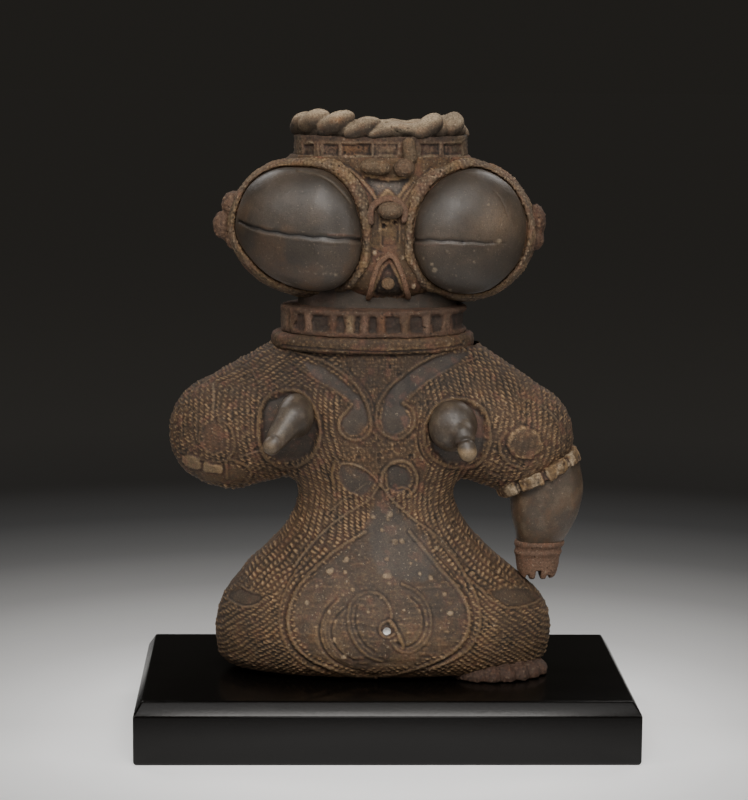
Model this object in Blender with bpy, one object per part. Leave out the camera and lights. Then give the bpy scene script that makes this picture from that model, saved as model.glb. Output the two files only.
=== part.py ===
"""Goggle-eyed hollow clay figurine on a chamfered display plinth.

Every lump of clay is its own solid.  Shapes are written as signed distance fields in millimetres and meshed here;
frame: origin at the centre of the plinth's underside, +Z up, the figure faces -Y.
"""
import itertools

import bmesh
import bpy
import numpy as np

for _o in list(bpy.data.objects):
    bpy.data.objects.remove(_o, do_unlink=True)

MM = 0.001
GAP = 0.3            # joint gap between neighbouring lumps, mm
FIT = 0.5            # gap under clay applied on a curved wall, mm

# plinth
PLINTH_W, PLINTH_D, PLINTH_H = 214.0, 130.0, 27.0
CHAMFER_IN, CHAMFER_DOWN = 3.7, 5.8
# mount
ROD_X, ROD_Y = 0.0, 2.0
ROD_R = 3.0
ROD_TOP = 78.0
SLEEVE_R = 6.5
SLEEVE_LO, SLEEVE_HI = 39.0, 73.0
COUNTERBORE_R, COUNTERBORE_H = 12.0, 10.0
# figure
SEAT_Z = 27.3        # underside of the clay
WAIST_Z = 88.0
SHOULDER_Z = 170.0
RING_Z = 176.0
COLLAR_Z = 188.0
NECK_TOP = 197.0
NECK_Y = 2.0
BROW_Z = 252.0
CROWN_Z = 261.0
LEG_R_X, LEG_L_X = -42.0, 40.0
ARM_R_X, ARM_L_X = -48.0, 41.6
MID_Y = 2.0
WALL = 8.0
FLOOR_HOLE_R = 9.5
NAVEL_X, NAVEL_Z, NAVEL_R = 0.0, 51.5, 1.9

# trunk sections: z, left x, right x, front y, back y
TRUNK = np.array([
    (26.0, -40, 42, -12, 14), (27.3, -56, 57, -21, 23), (29, -66, 65.5, -29, 29.5), (32, -71.2, 70, -34, 33.5),
    (38, -73.6, 72.6, -38, 36), (44, -74.2, 73.6, -39.5, 37), (50, -73.6, 73.2, -39.8, 37), (56, -72, 71.4, -39, 36),
    (62, -69, 67, -37.5, 34.5), (68, -64.8, 60.8, -35.5, 32.5), (74, -60, 53.8, -33, 30.5), (80, -53.6, 46.8, -30.5, 28.5),
    (86, -47.6, 40.6, -28, 26.5), (92, -42.6, 35.8, -26, 25), (98, -39.6, 32.3, -24.8, 24.3), (104, -38.2, 30.4, -24.5, 24),
    (110, -38.8, 31, -25, 24.5), (117, -41, 33.5, -26.5, 25.5), (125, -44, 37, -27.5, 26.5), (133, -46, 39.5, -28, 27),
    (141, -47, 41, -28, 27), (149, -47, 41, -27, 26.3), (157, -46, 39.5, -25.8, 25.3), (164, -45, 38, -25, 24.5),
    (171, -44, 37, -24.5, 24.2), (178, -43, 36, -24, 24)], float)


# ------------------------------------------------------------------ fields
def smin(a, b, k):
    h = np.clip(0.5 + 0.5 * (b - a) / k, 0, 1)
    return b * (1 - h) + a * h - k * h * (1 - h)


def smax(a, b, k):
    return -smin(-a, -b, k)


def spline(z, zs, vs):
    i = np.clip(np.searchsorted(zs, z) - 1, 0, len(zs) - 2)
    h = zs[i + 1] - zs[i]
    t = np.clip((z - zs[i]) / h, 0, 1)
    d = np.gradient(vs, zs)
    t2, t3 = t * t, t * t * t
    return ((2 * t3 - 3 * t2 + 1) * vs[i] + (t3 - 2 * t2 + t) * d[i] * h
            + (-2 * t3 + 3 * t2) * vs[i + 1] + (t3 - t2) * d[i + 1] * h)


def ellipse2(x, y, cx, cy, a, b, e=2.0):
    """Distance-like value to an upright elliptic column."""
    u, v = np.abs(x - cx) / a, np.abs(y - cy) / b
    rho = (u ** e + v ** e) ** (1 / e) + 1e-9
    r = np.sqrt((x - cx) ** 2 + (y - cy) ** 2)
    return np.where(rho < 0.5, -(1 - rho) * np.minimum(a, b), r * (1 - 1 / rho))


def ellipsoid(P, c, rad):
    q = P - np.array(c, float)
    rad = np.array(rad, float)
    k0 = np.sqrt(((q / rad) ** 2).sum(-1)) + 1e-9
    k1 = np.sqrt(((q / rad ** 2) ** 2).sum(-1)) + 1e-9
    return np.where(k0 < 0.3, -(1 - k0) * rad.min(), k0 * (k0 - 1) / k1)


def trunk(P):
    x, y, z = P[..., 0], P[..., 1], P[..., 2]
    zs = TRUNK[:, 0]
    zc = np.clip(z, zs[0], zs[-1])
    xl, xr, yf, yb = (spline(zc, zs, TRUNK[:, k]) for k in (1, 2, 3, 4))
    b = np.where(y < MID_Y, MID_Y - yf, yb - MID_Y)
    return ellipse2(x, y, (xl + xr) / 2, MID_Y, (xr - xl) / 2, b, 2.25)


def limb(P, a, b, ra, rb, da, db, yc=MID_Y):
    """Tapered limb in the XZ plane, with its own depth."""
    a, b = np.array(a, float), np.array(b, float)
    q, ab = P[..., [0, 2]] - a, b - a
    t = np.clip((q @ ab) / (ab @ ab), 0, 1)
    d = q - t[..., None] * ab
    r = ra + (rb - ra) * t
    s = r / (da + (db - da) * t)
    return np.sqrt(d[..., 0] ** 2 + d[..., 1] ** 2 + ((P[..., 1] - yc) * s) ** 2) - r


def segment(P, a, b, ra, rb):
    a, b = np.array(a, float), np.array(b, float)
    q, ab = P - a, b - a
    t = np.clip((q @ ab) / (ab @ ab), 0, 1)
    return np.sqrt(((q - t[..., None] * ab) ** 2).sum(-1)) - (ra + (rb - ra) * t)


def path2(x, z, pts):
    """Distance in the XZ plane to a polyline."""
    best = None
    for (x0, z0), (x1, z1) in zip(pts[:-1], pts[1:]):
        dx, dz = x1 - x0, z1 - z0
        t = np.clip(((x - x0) * dx + (z - z0) * dz) / (dx * dx + dz * dz), 0, 1)
        d = np.hypot(x - x0 - t * dx, z - z0 - t * dz)
        best = d if best is None else np.minimum(best, d)
    return best


BAND_P = np.array((66.0, 114.0))
BAND_N = np.array((-0.435, 0.900))


def band_coord(P):
    """Height above the middle of the left armband, along the arm."""
    return (P[..., 0] - BAND_P[0]) * BAND_N[0] + (P[..., 2] - BAND_P[1]) * BAND_N[1]


def core(P):
    d = smax(trunk(P), P[..., 2] - 173.5, 3.0)
    stump = (108.0 - P[..., 2] - 0.38 * (P[..., 0] + 78.0)) * 0.93
    d = smin(d, smax(limb(P, (-33, 146), (-69, 131.5), 30.5, 25.5, 25.5, 22.5), stump, 5.0), 6.0)
    d = smin(d, limb(P, (25.5, 145.5), (57.5, 129.5), 29.5, 25.0, 25.5, 22.0), 6.0)
    return smax(d, SEAT_Z - P[..., 2], 1.2)


def trunk_cavity(P):
    return smax(trunk(P) + WALL, (SEAT_Z + WALL) - P[..., 2], 3.0)


FOREARM = np.array([
    (66, 67.0, 7.5, 6.5), (72, 67.5, 8.8, 7.4), (79, 67.7, 9.6, 8.0), (83, 68.3, 9.9, 8.6), (87, 69.2, 11.4, 10.4),
    (93, 70.0, 13.8, 12.4), (100, 70.6, 15.4, 13.8), (108, 70.8, 16.3, 14.6), (116, 70.0, 15.8, 14.4), (126, 68.5, 14.5, 13.5)], float)


def forearm(P):
    x, y, z = P[..., 0], P[..., 1], P[..., 2]
    zs = FOREARM[:, 0]
    zc = np.clip(z, zs[0], zs[-1])
    cx, a, b = (spline(zc, zs, FOREARM[:, k]) for k in (1, 2, 3))
    return smax(ellipse2(x, y, cx, 1.0, a, b, 2.2), 66.5 - z, 3.0)


def neck_bore(P):
    return ellipse2(P[..., 0], P[..., 1], -4.0, NECK_Y, 23.0, 12.0)


def head(P):
    d = smin(ellipsoid(P, (-33, 4, 221.3), (35.5, 27, 30.5)), ellipsoid(P, (30.3, 4, 219.6), (35.0, 27, 31.0)), 6.0)
    d = smin(d, ellipsoid(P, (-1.5, 4, 220), (40, 28, 32)), 6.0)
    col = smax(ellipse2(P[..., 0], P[..., 1], -3.1, 3.0, 38.0, 23.5, 2.2), 225.0 - P[..., 2], 4.0)
    d = smin(d, ellipsoid(P, (-0.5, -8.0, 203.0), (22.0, 16.5, 13.0)), 6.0)
    return smin(d, col, 5.0)


def head_cavity(P):
    x, y, z = P[..., 0], P[..., 1], P[..., 2]
    d = ellipsoid(P, (-2, 4, 221), (54, 19.0, 21.5))
    up = np.maximum(ellipse2(x, y, -3.1, 3.0, 31.0, 16.5, 2.2), 222.0 - z)
    down = np.maximum(neck_bore(P), z - 222.0)
    return smin(smin(d, up, 4.0), down, 4.0)


def neck_plug(P, grow):
    """The room the neck takes out of the head."""
    return np.maximum(ellipse2(P[..., 0], P[..., 1], -4.0, NECK_Y, 34.0 + grow, 18.5 + grow, 2.1), P[..., 2] - NECK_TOP - GAP / 2)


# centre x, centre z, half width, y at the nose side, y at the temple side, bulge
EYES = {"right": (-38.7, 221.5, 26.8, -23.5, -9.5, 13.0), "left": (35.0, 220.8, 24.6, -23.5, -9.5, 13.0)}
# each eye's outline on the face, clockwise from the figure's right: x, z
EYE_LINE = {
    "right": [(-65.5, 222.5), (-60.5, 238.0), (-50.0, 246.0), (-38.0, 247.5), (-26.0, 246.0), (-16.5, 236.5),
              (-12.0, 222.0), (-13.0, 208.5), (-20.5, 198.0), (-33.5, 195.5), (-49.5, 200.5), (-61.0, 211.0)],
    "left": [(10.5, 218.0), (12.5, 230.5), (21.5, 242.5), (37.0, 247.5), (50.5, 241.5), (58.0, 230.0),
             (59.5, 218.5), (55.0, 206.0), (43.0, 196.0), (28.5, 195.0), (17.0, 201.0), (11.5, 210.5)]}


class Outline:
    """Signed distance to a smooth closed line in the x, z plane, read from a fine grid."""

    def __init__(self, pts, step=0.4, margin=16.0):
        p = np.array(pts, float)
        q = np.vstack([p[-1], p, p[0], p[1]])
        line = []
        for i in range(len(q) - 3):
            a, b, c, d = q[i:i + 4]
            for t in np.arange(5) / 5:
                line.append(0.5 * (2 * b + (c - a) * t + (2 * a - 5 * b + 4 * c - d) * t * t + (3 * b - a - 3 * c + d) * t ** 3))
        line = np.array(line)
        self.lo, self.step = line.min(0) - margin, step
        n = np.ceil((line.max(0) + margin - self.lo) / step).astype(int) + 1
        X, Z = np.meshgrid(self.lo[0] + step * np.arange(n[0]), self.lo[1] + step * np.arange(n[1]), indexing="ij")
        best, inside = np.full(X.shape, 1e9), np.zeros(X.shape, bool)
        for (x0, z0), (x1, z1) in zip(line, np.roll(line, -1, 0)):
            dx, dz = x1 - x0, z1 - z0
            t = np.clip(((X - x0) * dx + (Z - z0) * dz) / (dx * dx + dz * dz + 1e-12), 0, 1)
            best = np.minimum(best, (X - x0 - t * dx) ** 2 + (Z - z0 - t * dz) ** 2)
            inside ^= ((z0 > Z) != (z1 > Z)) & (X < dx * (Z - z0) / (dz + 1e-12) + x0)
        self.d = np.where(inside, -1.0, 1.0) * np.sqrt(best)

    def __call__(self, x, z):
        i = (x - self.lo[0]) / self.step
        k = (z - self.lo[1]) / self.step
        ni, nk = self.d.shape
        ic, kc = np.clip(i, 0, ni - 1.001), np.clip(k, 0, nk - 1.001)
        i0, k0 = ic.astype(int), kc.astype(int)
        fi, fz = ic - i0, kc - k0
        d = self.d
        v = ((d[i0, k0] * (1 - fi) + d[i0 + 1, k0] * fi) * (1 - fz) + (d[i0, k0 + 1] * (1 - fi) + d[i0 + 1, k0 + 1] * fi) * fz)
        return v + np.hypot(i - ic, k - kc) * self.step


EYE_OUTLINE = {side: Outline(pts) for side, pts in EYE_LINE.items()}


def eye2(P, side):
    return EYE_OUTLINE[side](P[..., 0], P[..., 2])


def eye_front(P, side):
    """How far forward the bulging eye comes, and how far the point lies inside its outline."""
    cx, cz, a, y_nose, y_temple, bulge = EYES[side]
    out = -1.0 if side == "right" else 1.0
    t = np.clip(((P[..., 0] - cx) / a * out + 1) / 2, 0, 2)
    rho = np.clip(1 + eye2(P, side) / 24.5, 0, 2)
    return y_nose + (y_temple - y_nose) * t ** 1.4 - bulge * np.clip(1 - rho ** 2.2, 0, 1) ** 0.62


def eye_dome(P, side):
    """Bulging slab of clay: flat towards the nose, falling away to the temple."""
    dome = smax((eye_front(P, side) - P[..., 1]) * 0.7, eye2(P, side), 0.8)
    return np.maximum(dome, inter(FIT + 0.1 - head(P), P[..., 1], -neck_plug(P, 0.5)))


def eye_rim(P, side):
    e = eye2(P, side)
    band = np.abs(e - 2.45) - 2.1
    rim = smax(smax(band, head(P) - 3.2, 1.6), np.maximum(FIT - head(P), P[..., 1] + 1.0), 0.3)
    return np.maximum(rim, np.maximum(-neck_plug(P, 0.5), COLLAR_Z + GAP / 2 - P[..., 2]))


# ------------------------------------------------------------------ meshing
TETS = ((0, 1, 3, 7), (0, 3, 2, 7), (0, 2, 6, 7), (0, 6, 4, 7), (0, 4, 5, 7), (0, 5, 1, 7))


def even_orders():
    out = []
    for o in itertools.permutations(range(4)):
        swaps = sum(1 for i in range(4) for j in range(i + 1, 4) if o[i] > o[j])
        if swaps % 2 == 0:
            out.append(o)
    return out


def net(f, lo, hi, h):
    """Marching tetrahedra on f < 0: vertices in mm and triangles, outward, always closed."""
    n = [int(np.ceil((hi[i] - lo[i]) / h)) + 1 for i in range(3)]
    ax = [lo[i] + h * np.arange(n[i]) for i in range(3)]
    V = f(np.stack(np.meshgrid(ax[0], ax[1], ax[2], indexing="ij"), -1))
    V[0], V[-1], V[:, 0], V[:, -1], V[:, :, 0], V[:, :, -1] = (9.0,) * 6
    near = 0.02 * h
    V = np.where(np.abs(V) < near, np.where(V < 0, -near, near), V)
    ids = np.arange(n[0] * n[1] * n[2]).reshape(n)
    S = V < 0
    corner = [ids[i:n[0] - 1 + i, j:n[1] - 1 + j, k:n[2] - 1 + k] for k in (0, 1) for j in (0, 1) for i in (0, 1)]
    c = sum(S.ravel()[k].astype(np.int8) for k in corner)
    act = (c > 0) & (c < 8)
    corner = [k[act] for k in corner]
    flat = V.ravel()
    edges, orders = [], even_orders()
    for tet in TETS:
        t = np.stack([corner[k] for k in tet], 1)
        inside = flat[t] < 0
        code = inside @ np.array((1, 2, 4, 8))
        for m in range(1, 15):
            rows = t[code == m]
            if not len(rows):
                continue
            ins = [k for k in range(4) if m >> k & 1]
            for o in orders:
                if len(ins) == 1 and o[0] == ins[0]:
                    tri = [((0, 1), (0, 2), (0, 3))]
                elif len(ins) == 3 and o[0] not in ins:
                    tri = [((0, 1), (0, 3), (0, 2))]
                elif len(ins) == 2 and set(o[:2]) == set(ins):
                    tri = [((0, 2), (0, 3), (1, 3)), ((0, 2), (1, 3), (1, 2))]
                else:
                    continue
                for one in tri:
                    edges.append(np.stack([np.sort(rows[:, [o[p], o[q]]], 1) for p, q in one], 1))
                break
    e = np.concatenate(edges)
    key = e[..., 0].astype(np.int64) * (n[0] * n[1] * n[2]) + e[..., 1]
    uniq, inv = np.unique(key.ravel(), return_inverse=True)
    i0, i1 = uniq // (n[0] * n[1] * n[2]), uniq % (n[0] * n[1] * n[2])
    v0, v1 = flat[i0], flat[i1]
    t = (v0 / (v0 - v1))[:, None]

    def pos(k):
        return np.stack([ax[0][k // (n[1] * n[2])], ax[1][k // n[2] % n[1]], ax[2][k % n[2]]], 1)
    tri = inv.reshape(-1, 3)
    verts = pos(i0) * (1 - t) + pos(i1) * t
    return verts, tri


def material(name, rgb, rough):
    m = bpy.data.materials.new(name)
    m.use_nodes = True
    b = m.node_tree.nodes["Principled BSDF"]
    b.inputs["Base Color"].default_value = (*rgb, 1.0)
    b.inputs["Roughness"].default_value = rough
    m.diffuse_color = (*rgb, 1.0)
    return m


def finish(ob, name, rgb, rough):
    ob.name = name
    ob.data.name = name
    ob.data.materials.clear()
    ob.data.materials.append(material(name + "_mat", rgb, rough))


def keep_largest(bm):
    """One closed body: drop crumbs the grid may leave."""
    seen, groups = set(), []
    bm.faces.ensure_lookup_table()
    for f in bm.faces:
        if f.index in seen:
            continue
        todo, got = [f], []
        seen.add(f.index)
        while todo:
            g = todo.pop()
            got.append(g)
            for e in g.edges:
                for k in e.link_faces:
                    if k.index not in seen:
                        seen.add(k.index)
                        todo.append(k)
        groups.append(got)
    groups.sort(key=len, reverse=True)
    for got in groups[1:]:
        bmesh.ops.delete(bm, geom=got, context="FACES")


def lump(name, field, lo, hi, h, tris, rgb, rough, clamp=()):
    """Mesh a field, thin it to about tris triangles, hold cut faces on their planes."""
    v, f = net(field, lo, hi, h)
    me = bpy.data.meshes.new(name)
    me.from_pydata((v * MM).tolist(), [], f.tolist())
    bm = bmesh.new()
    bm.from_mesh(me)
    keep_largest(bm)
    bmesh.ops.triangulate(bm, faces=bm.faces[:])
    bm.to_mesh(me)
    n = len(bm.faces)
    bm.free()
    ob = bpy.data.objects.new(name, me)
    bpy.context.scene.collection.objects.link(ob)
    if n > tris:
        mod = ob.modifiers.new("thin", "DECIMATE")
        mod.ratio = tris / n
        dg = bpy.context.evaluated_depsgraph_get()
        new = bpy.data.meshes.new_from_object(ob.evaluated_get(dg))
        ob.modifiers.clear()
        ob.data = new
        bpy.data.meshes.remove(me)
    me = ob.data
    co = np.empty(len(me.vertices) * 3)
    me.vertices.foreach_get("co", co)
    co = co.reshape(-1, 3)
    for axis, sign, value in clamp:
        col = co[:, axis]
        lim = value * MM
        near = np.abs(col - lim) < 0.12 * MM
        col[near] = lim
        co[:, axis] = np.minimum(col, lim) if sign > 0 else np.maximum(col, lim)
    me.vertices.foreach_set("co", co.ravel())
    me.polygons.foreach_set("use_smooth", [True] * len(me.polygons))
    me.update()
    finish(ob, name, rgb, rough)
    return ob


def inter(*ds):
    out = ds[0]
    for d in ds[1:]:
        out = np.maximum(out, d)
    return out


# ------------------------------------------------------------------ colours
CLAY = (0.105, 0.065, 0.038)
CLAY_WARM = (0.135, 0.072, 0.042)
CLAY_GREY = (0.20, 0.165, 0.125)
SLATE = (0.060, 0.050, 0.042)
BURNISH = (0.085, 0.060, 0.042)
OCHRE = (0.26, 0.15, 0.07)
LACQUER = (0.012, 0.010, 0.009)
STEEL = (0.45, 0.45, 0.45)
FOAM = (0.75, 0.73, 0.70)


# ------------------------------------------------------------------ plinth and mount
def tube_mesh(name, cx, cy, r_out, r_in, z0, z1, n, rgb, rough, smooth=True):
    bm = bmesh.new()
    rings = []
    for r in ([r_out, r_in] if r_in else [r_out]):
        lo = [bm.verts.new(((cx + r * np.cos(2 * np.pi * k / n)) * MM, (cy + r * np.sin(2 * np.pi * k / n)) * MM, z0 * MM)) for k in range(n)]
        hi = [bm.verts.new((v.co.x, v.co.y, z1 * MM)) for v in lo]
        rings.append((lo, hi))
    lo, hi = rings[0]
    for k in range(n):
        j = (k + 1) % n
        bm.faces.new((lo[k], lo[j], hi[j], hi[k])).smooth = smooth
        if r_in:
            li, hii = rings[1]
            bm.faces.new((li[j], li[k], hii[k], hii[j])).smooth = smooth
            bm.faces.new((hi[k], hi[j], hii[j], hii[k]))
            bm.faces.new((lo[j], lo[k], li[k], li[j]))
    if not r_in:
        bm.faces.new(hi)
        bm.faces.new(lo[::-1])
    me = bpy.data.meshes.new(name)
    bm.to_mesh(me)
    bm.free()
    ob = bpy.data.objects.new(name, me)
    bpy.context.scene.collection.objects.link(ob)
    finish(ob, name, rgb, rough)
    return ob


def plinth():
    w, d = PLINTH_W / 2, PLINTH_D / 2
    levels = [(0.8, 0.0), (0.0, 0.8), (0.0, PLINTH_H - CHAMFER_DOWN), (CHAMFER_IN, PLINTH_H)]
    bm = bmesh.new()
    rows = []
    for inset, z in levels:
        rows.append([bm.verts.new((sx * (w - inset) * MM, sy * (d - inset) * MM, z * MM)) for sx, sy in ((-1, -1), (1, -1), (1, 1), (-1, 1))])
    for a, b in zip(rows[:-1], rows[1:]):
        for k in range(4):
            j = (k + 1) % 4
            bm.faces.new((a[k], a[j], b[j], b[k]))
    bm.faces.new(rows[0][::-1])
    bm.faces.new(rows[-1])
    me = bpy.data.meshes.new("plinth_block")
    bm.to_mesh(me)
    bm.free()
    ob = bpy.data.objects.new("plinth_block", me)
    bpy.context.scene.collection.objects.link(ob)
    finish(ob, "plinth_block", LACQUER, 0.25)
    for nm, r, z0, z1 in (("cut_bore", ROD_R + 0.3, -5.0, PLINTH_H + 5.0), ("cut_counterbore", COUNTERBORE_R, -5.0, COUNTERBORE_H)):
        c = tube_mesh(nm, ROD_X, ROD_Y, r, 0, z0, z1, 32, LACQUER, 0.3)
        c.hide_render = True
        c.display_type = "WIRE"
        m = ob.modifiers.new(nm, "BOOLEAN")
        m.operation = "DIFFERENCE"
        m.solver = "EXACT"
        m.object = c
    return ob


plinth()
tube_mesh("mount_rod", ROD_X, ROD_Y, ROD_R, 0, 1.5, ROD_TOP, 20, STEEL, 0.3)
tube_mesh("mount_washer", ROD_X, ROD_Y, 9.0, ROD_R + GAP, 8.2, COUNTERBORE_H - GAP, 24, STEEL, 0.35)
tube_mesh("mount_nut", ROD_X, ROD_Y, 5.8, ROD_R + 0.8, 2.6, 7.9, 6, STEEL, 0.35, smooth=False)
tube_mesh("mount_sleeve", ROD_X, ROD_Y, SLEEVE_R, ROD_R + GAP, SLEEVE_LO, SLEEVE_HI, 24, FOAM, 0.9)


# ------------------------------------------------------------------ lower body
def lower(P):
    hole = np.hypot(P[..., 0] - ROD_X, P[..., 1] - ROD_Y) - FLOOR_HOLE_R
    return inter(core(P), P[..., 2] - WAIST_Z + GAP / 2, -trunk_cavity(P), -hole)


lump("right_leg", lambda P: inter(lower(P), P[..., 0] - LEG_R_X + GAP / 2), (-78, -43, 25), (-38, 41, 91), 2.0, 460, CLAY, 0.75,
     ((0, 1, LEG_R_X - GAP / 2), (2, 1, WAIST_Z - GAP / 2), (2, -1, SEAT_Z)))
lump("left_leg", lambda P: inter(lower(P), LEG_L_X + GAP / 2 - P[..., 0]), (36, -43, 25), (78, 41, 91), 2.0, 460, CLAY, 0.75,
     ((0, -1, LEG_L_X + GAP / 2), (2, 1, WAIST_Z - GAP / 2), (2, -1, SEAT_Z)))


def middle(P):
    return inter(lower(P), LEG_R_X + GAP / 2 - P[..., 0], P[..., 0] - LEG_L_X + GAP / 2)


MIDC = ((0, -1, LEG_R_X + GAP / 2), (0, 1, LEG_L_X - GAP / 2), (2, 1, WAIST_Z - GAP / 2), (2, -1, SEAT_Z))
lump("belly_panel", lambda P: inter(middle(P), P[..., 1] - MID_Y + GAP / 2,
                                    NAVEL_R - np.hypot(P[..., 0] - NAVEL_X, P[..., 2] - NAVEL_Z)),
     (-46, -44, 25), (44, 5, 91), 1.6, 900, BURNISH, 0.6, MIDC + ((1, 1, MID_Y - GAP / 2),))
lump("rump_panel", lambda P: inter(middle(P), MID_Y + GAP / 2 - P[..., 1]), (-46, -1, 25), (44, 41, 91), 2.0, 520, CLAY, 0.75,
     MIDC + ((1, -1, MID_Y + GAP / 2),))
lump("navel_ring", lambda P: smax(np.abs(np.hypot(P[..., 0] - NAVEL_X, P[..., 2] - NAVEL_Z) - 3.5) - 1.3,
                                  np.maximum(core(P) - 2.0, FIT - core(P)), 0.4),
     (-7, -45, 44), (7, -34, 59), 0.6, 220, OCHRE, 0.7)


def belly_scroll(P, pts, w):
    d = path2(P[..., 0], P[..., 2], pts) - w
    return smax(d, inter(core(P) - 1.7, FIT - core(P), P[..., 1]), 0.4)


def arc(cx, cz, r, a0, a1, n=10):
    t = np.radians(np.linspace(a0, a1, n))
    return [(cx + r * np.cos(k), cz + r * np.sin(k)) for k in t]


def toe_gaps(P):
    """Shallow grooves between the toes, on the front and top of the foot slab."""
    u = np.abs(np.mod(P[..., 0] - 33.5, 7.5) - 3.75)
    return (u - 2.95) * 0.9 - np.clip(ellipsoid(P, (50, -19, 29.5), (21.5, 17.5, 7.5)) * -1.0 - 1.2, 0, 9)


lump("left_foot", lambda P: inter(smax(ellipsoid(P, (50, -19, 29.5), (21.5, 17.5, 7.5)),
                                       toe_gaps(P), 0.8),
                                  FIT - core(P), SEAT_Z - P[..., 2], 26.0 - P[..., 0]),
     (24, -40, 25), (76, -4, 40), 1.1, 320, CLAY_WARM, 0.8, ((2, -1, SEAT_Z),))


# ------------------------------------------------------------------ torso and arms
def bust(P):
    cav = smin(smax(trunk(P) + WALL, P[..., 2] - 168.0, 3.0), neck_bore(P), 3.0)
    return inter(core(P), WAIST_Z + GAP / 2 - P[..., 2], P[..., 2] - SHOULDER_Z + GAP / 2, -cav)


lump("torso_shell", lambda P: inter(bust(P), ARM_R_X + GAP / 2 - P[..., 0], P[..., 0] - ARM_L_X + GAP / 2),
     (-52, -33, 84), (46, 33, 174), 2.2, 1100, CLAY, 0.75,
     ((2, -1, WAIST_Z + GAP / 2), (2, 1, SHOULDER_Z - GAP / 2), (0, -1, ARM_R_X + GAP / 2), (0, 1, ARM_L_X - GAP / 2)))
lump("right_upper_arm", lambda P: inter(core(P), P[..., 0] - ARM_R_X + GAP / 2, 95.0 - P[..., 2], P[..., 2] - SHOULDER_Z + GAP / 2),
     (-99, -26, 100), (-44, 30, 176), 2.0, 420, CLAY, 0.8, ((0, 1, ARM_R_X - GAP / 2), (2, 1, SHOULDER_Z - GAP / 2)))
lump("left_upper_arm", lambda P: inter(core(P), ARM_L_X + GAP / 2 - P[..., 0], 95.0 - P[..., 2], 3.1 + GAP - band_coord(P)),
     (38, -26, 98), (92, 30, 176), 2.0, 420, CLAY, 0.8, ((0, -1, ARM_L_X + GAP / 2),))


def arm_tube(P):
    q = P.copy()
    q[..., 1] = (P[..., 1] - 1.5) * 1.12
    axis = np.array((-BAND_N[1], BAND_N[0]))
    along = (P[..., 0] - 67.0) * axis[0] + (P[..., 2] - 113.8) * axis[1]
    return ellipse2(along, P[..., 1], 0.0, 1.5, 20.6, 19.5, 2.2)


lump("left_armband", lambda P: smax(np.abs(band_coord(P)) - 3.1, arm_tube(P), 1.4),
     (42, -24, 98), (92, 27, 130), 1.2, 460, OCHRE, 0.8)
lump("left_forearm", lambda P: inter(forearm(P), band_coord(P) + 3.1 + GAP, 84.0 + GAP / 2 - P[..., 2]),
     (50, -18, 80), (92, 20, 128), 1.6, 380, BURNISH, 0.5, ((2, -1, 84.0 + GAP / 2),))


def hand(P):
    d = inter(forearm(P) - 0.3, P[..., 2] - 84.0 + GAP / 2)
    notch = np.hypot(P[..., 0] - 67.3, (P[..., 2] - 66.0) * 0.8) - 1.9
    return np.maximum(smax(d, -notch, 0.8), 0.6 - core(P))


lump("left_hand", hand, (54, -14, 62), (82, 16, 87), 1.2, 300, CLAY_WARM, 0.8, ((2, 1, 84.0 - GAP / 2),))


def stump_band(P):
    """Remains of the band that crossed the broken right arm."""
    t = (P[..., 0] + 78.0) * 0.935 - (P[..., 2] - 113.0) * 0.355
    n = (P[..., 0] + 78.0) * 0.355 + (P[..., 2] - 113.0) * 0.935
    return smax(np.hypot(t / 15.0, n / 2.6) * 2.6 - 2.6, inter(core(P) - 2.0, FIT - core(P), P[..., 1] - 0.0), 0.5)


lump("right_armband", stump_band, (-98, -28, 100), (-56, 4, 128), 0.8, 320, OCHRE, 0.8)


# ------------------------------------------------------------------ breasts
BREASTS = {
    "right": dict(c=(-41.9, 136.5), a=13.3, b=17.6, base=(-39.0, -20.0, 147.0), tip=(-44.5, -39.0, 130.0), r0=7.2, r1=4.4),
    "left": dict(c=(29.9, 135.6), a=13.6, b=15.0, base=(27.8, -20.0, 145.5), tip=(33.6, -39.0, 129.0), r0=7.2, r1=4.6),
}
for side, s in BREASTS.items():
    def horn(P, s=s):
        return inter(segment(P, s["base"], s["tip"], s["r0"], s["r1"]), FIT - core(P))

    def ring(P, s=s):
        e = ellipse2(P[..., 0], P[..., 2], s["c"][0], s["c"][1], s["a"], s["b"])
        return smax(np.abs(e + 1.6) - 1.3, inter(core(P) - 1.8, FIT - core(P), P[..., 1]), 0.4)

    cx, cz = s["c"]
    lump(side + "_breast", horn, (cx - 16, -46, cz - 18), (cx + 16, -14, cz + 22), 1.0, 240, SLATE, 0.4)
    lump(side + "_breast_ring", lambda P, ring=ring, horn=horn: inter(ring(P), 0.5 - horn(P)),
         (cx - 18, -34, cz - 22), (cx + 18, -14, cz + 22), 0.8, 320, CLAY, 0.7)


# ------------------------------------------------------------------ neck and collar
def bored(P, d):
    return np.maximum(d, -neck_bore(P))


lump("lower_neck_ring", lambda P: bored(P, smax(ellipse2(P[..., 0], P[..., 1], -6.0, 1.5, 44.8, 30.5, 2.15),
                                               np.abs(P[..., 2] - (SHOULDER_Z + RING_Z) / 2) - (RING_Z - SHOULDER_Z - GAP) / 2, 3.0)),
     (-54, -32, 167), (42, 35, 179), 1.4, 380, SLATE, 0.6, ((2, -1, SHOULDER_Z + GAP / 2), (2, 1, RING_Z - GAP / 2)))


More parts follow.
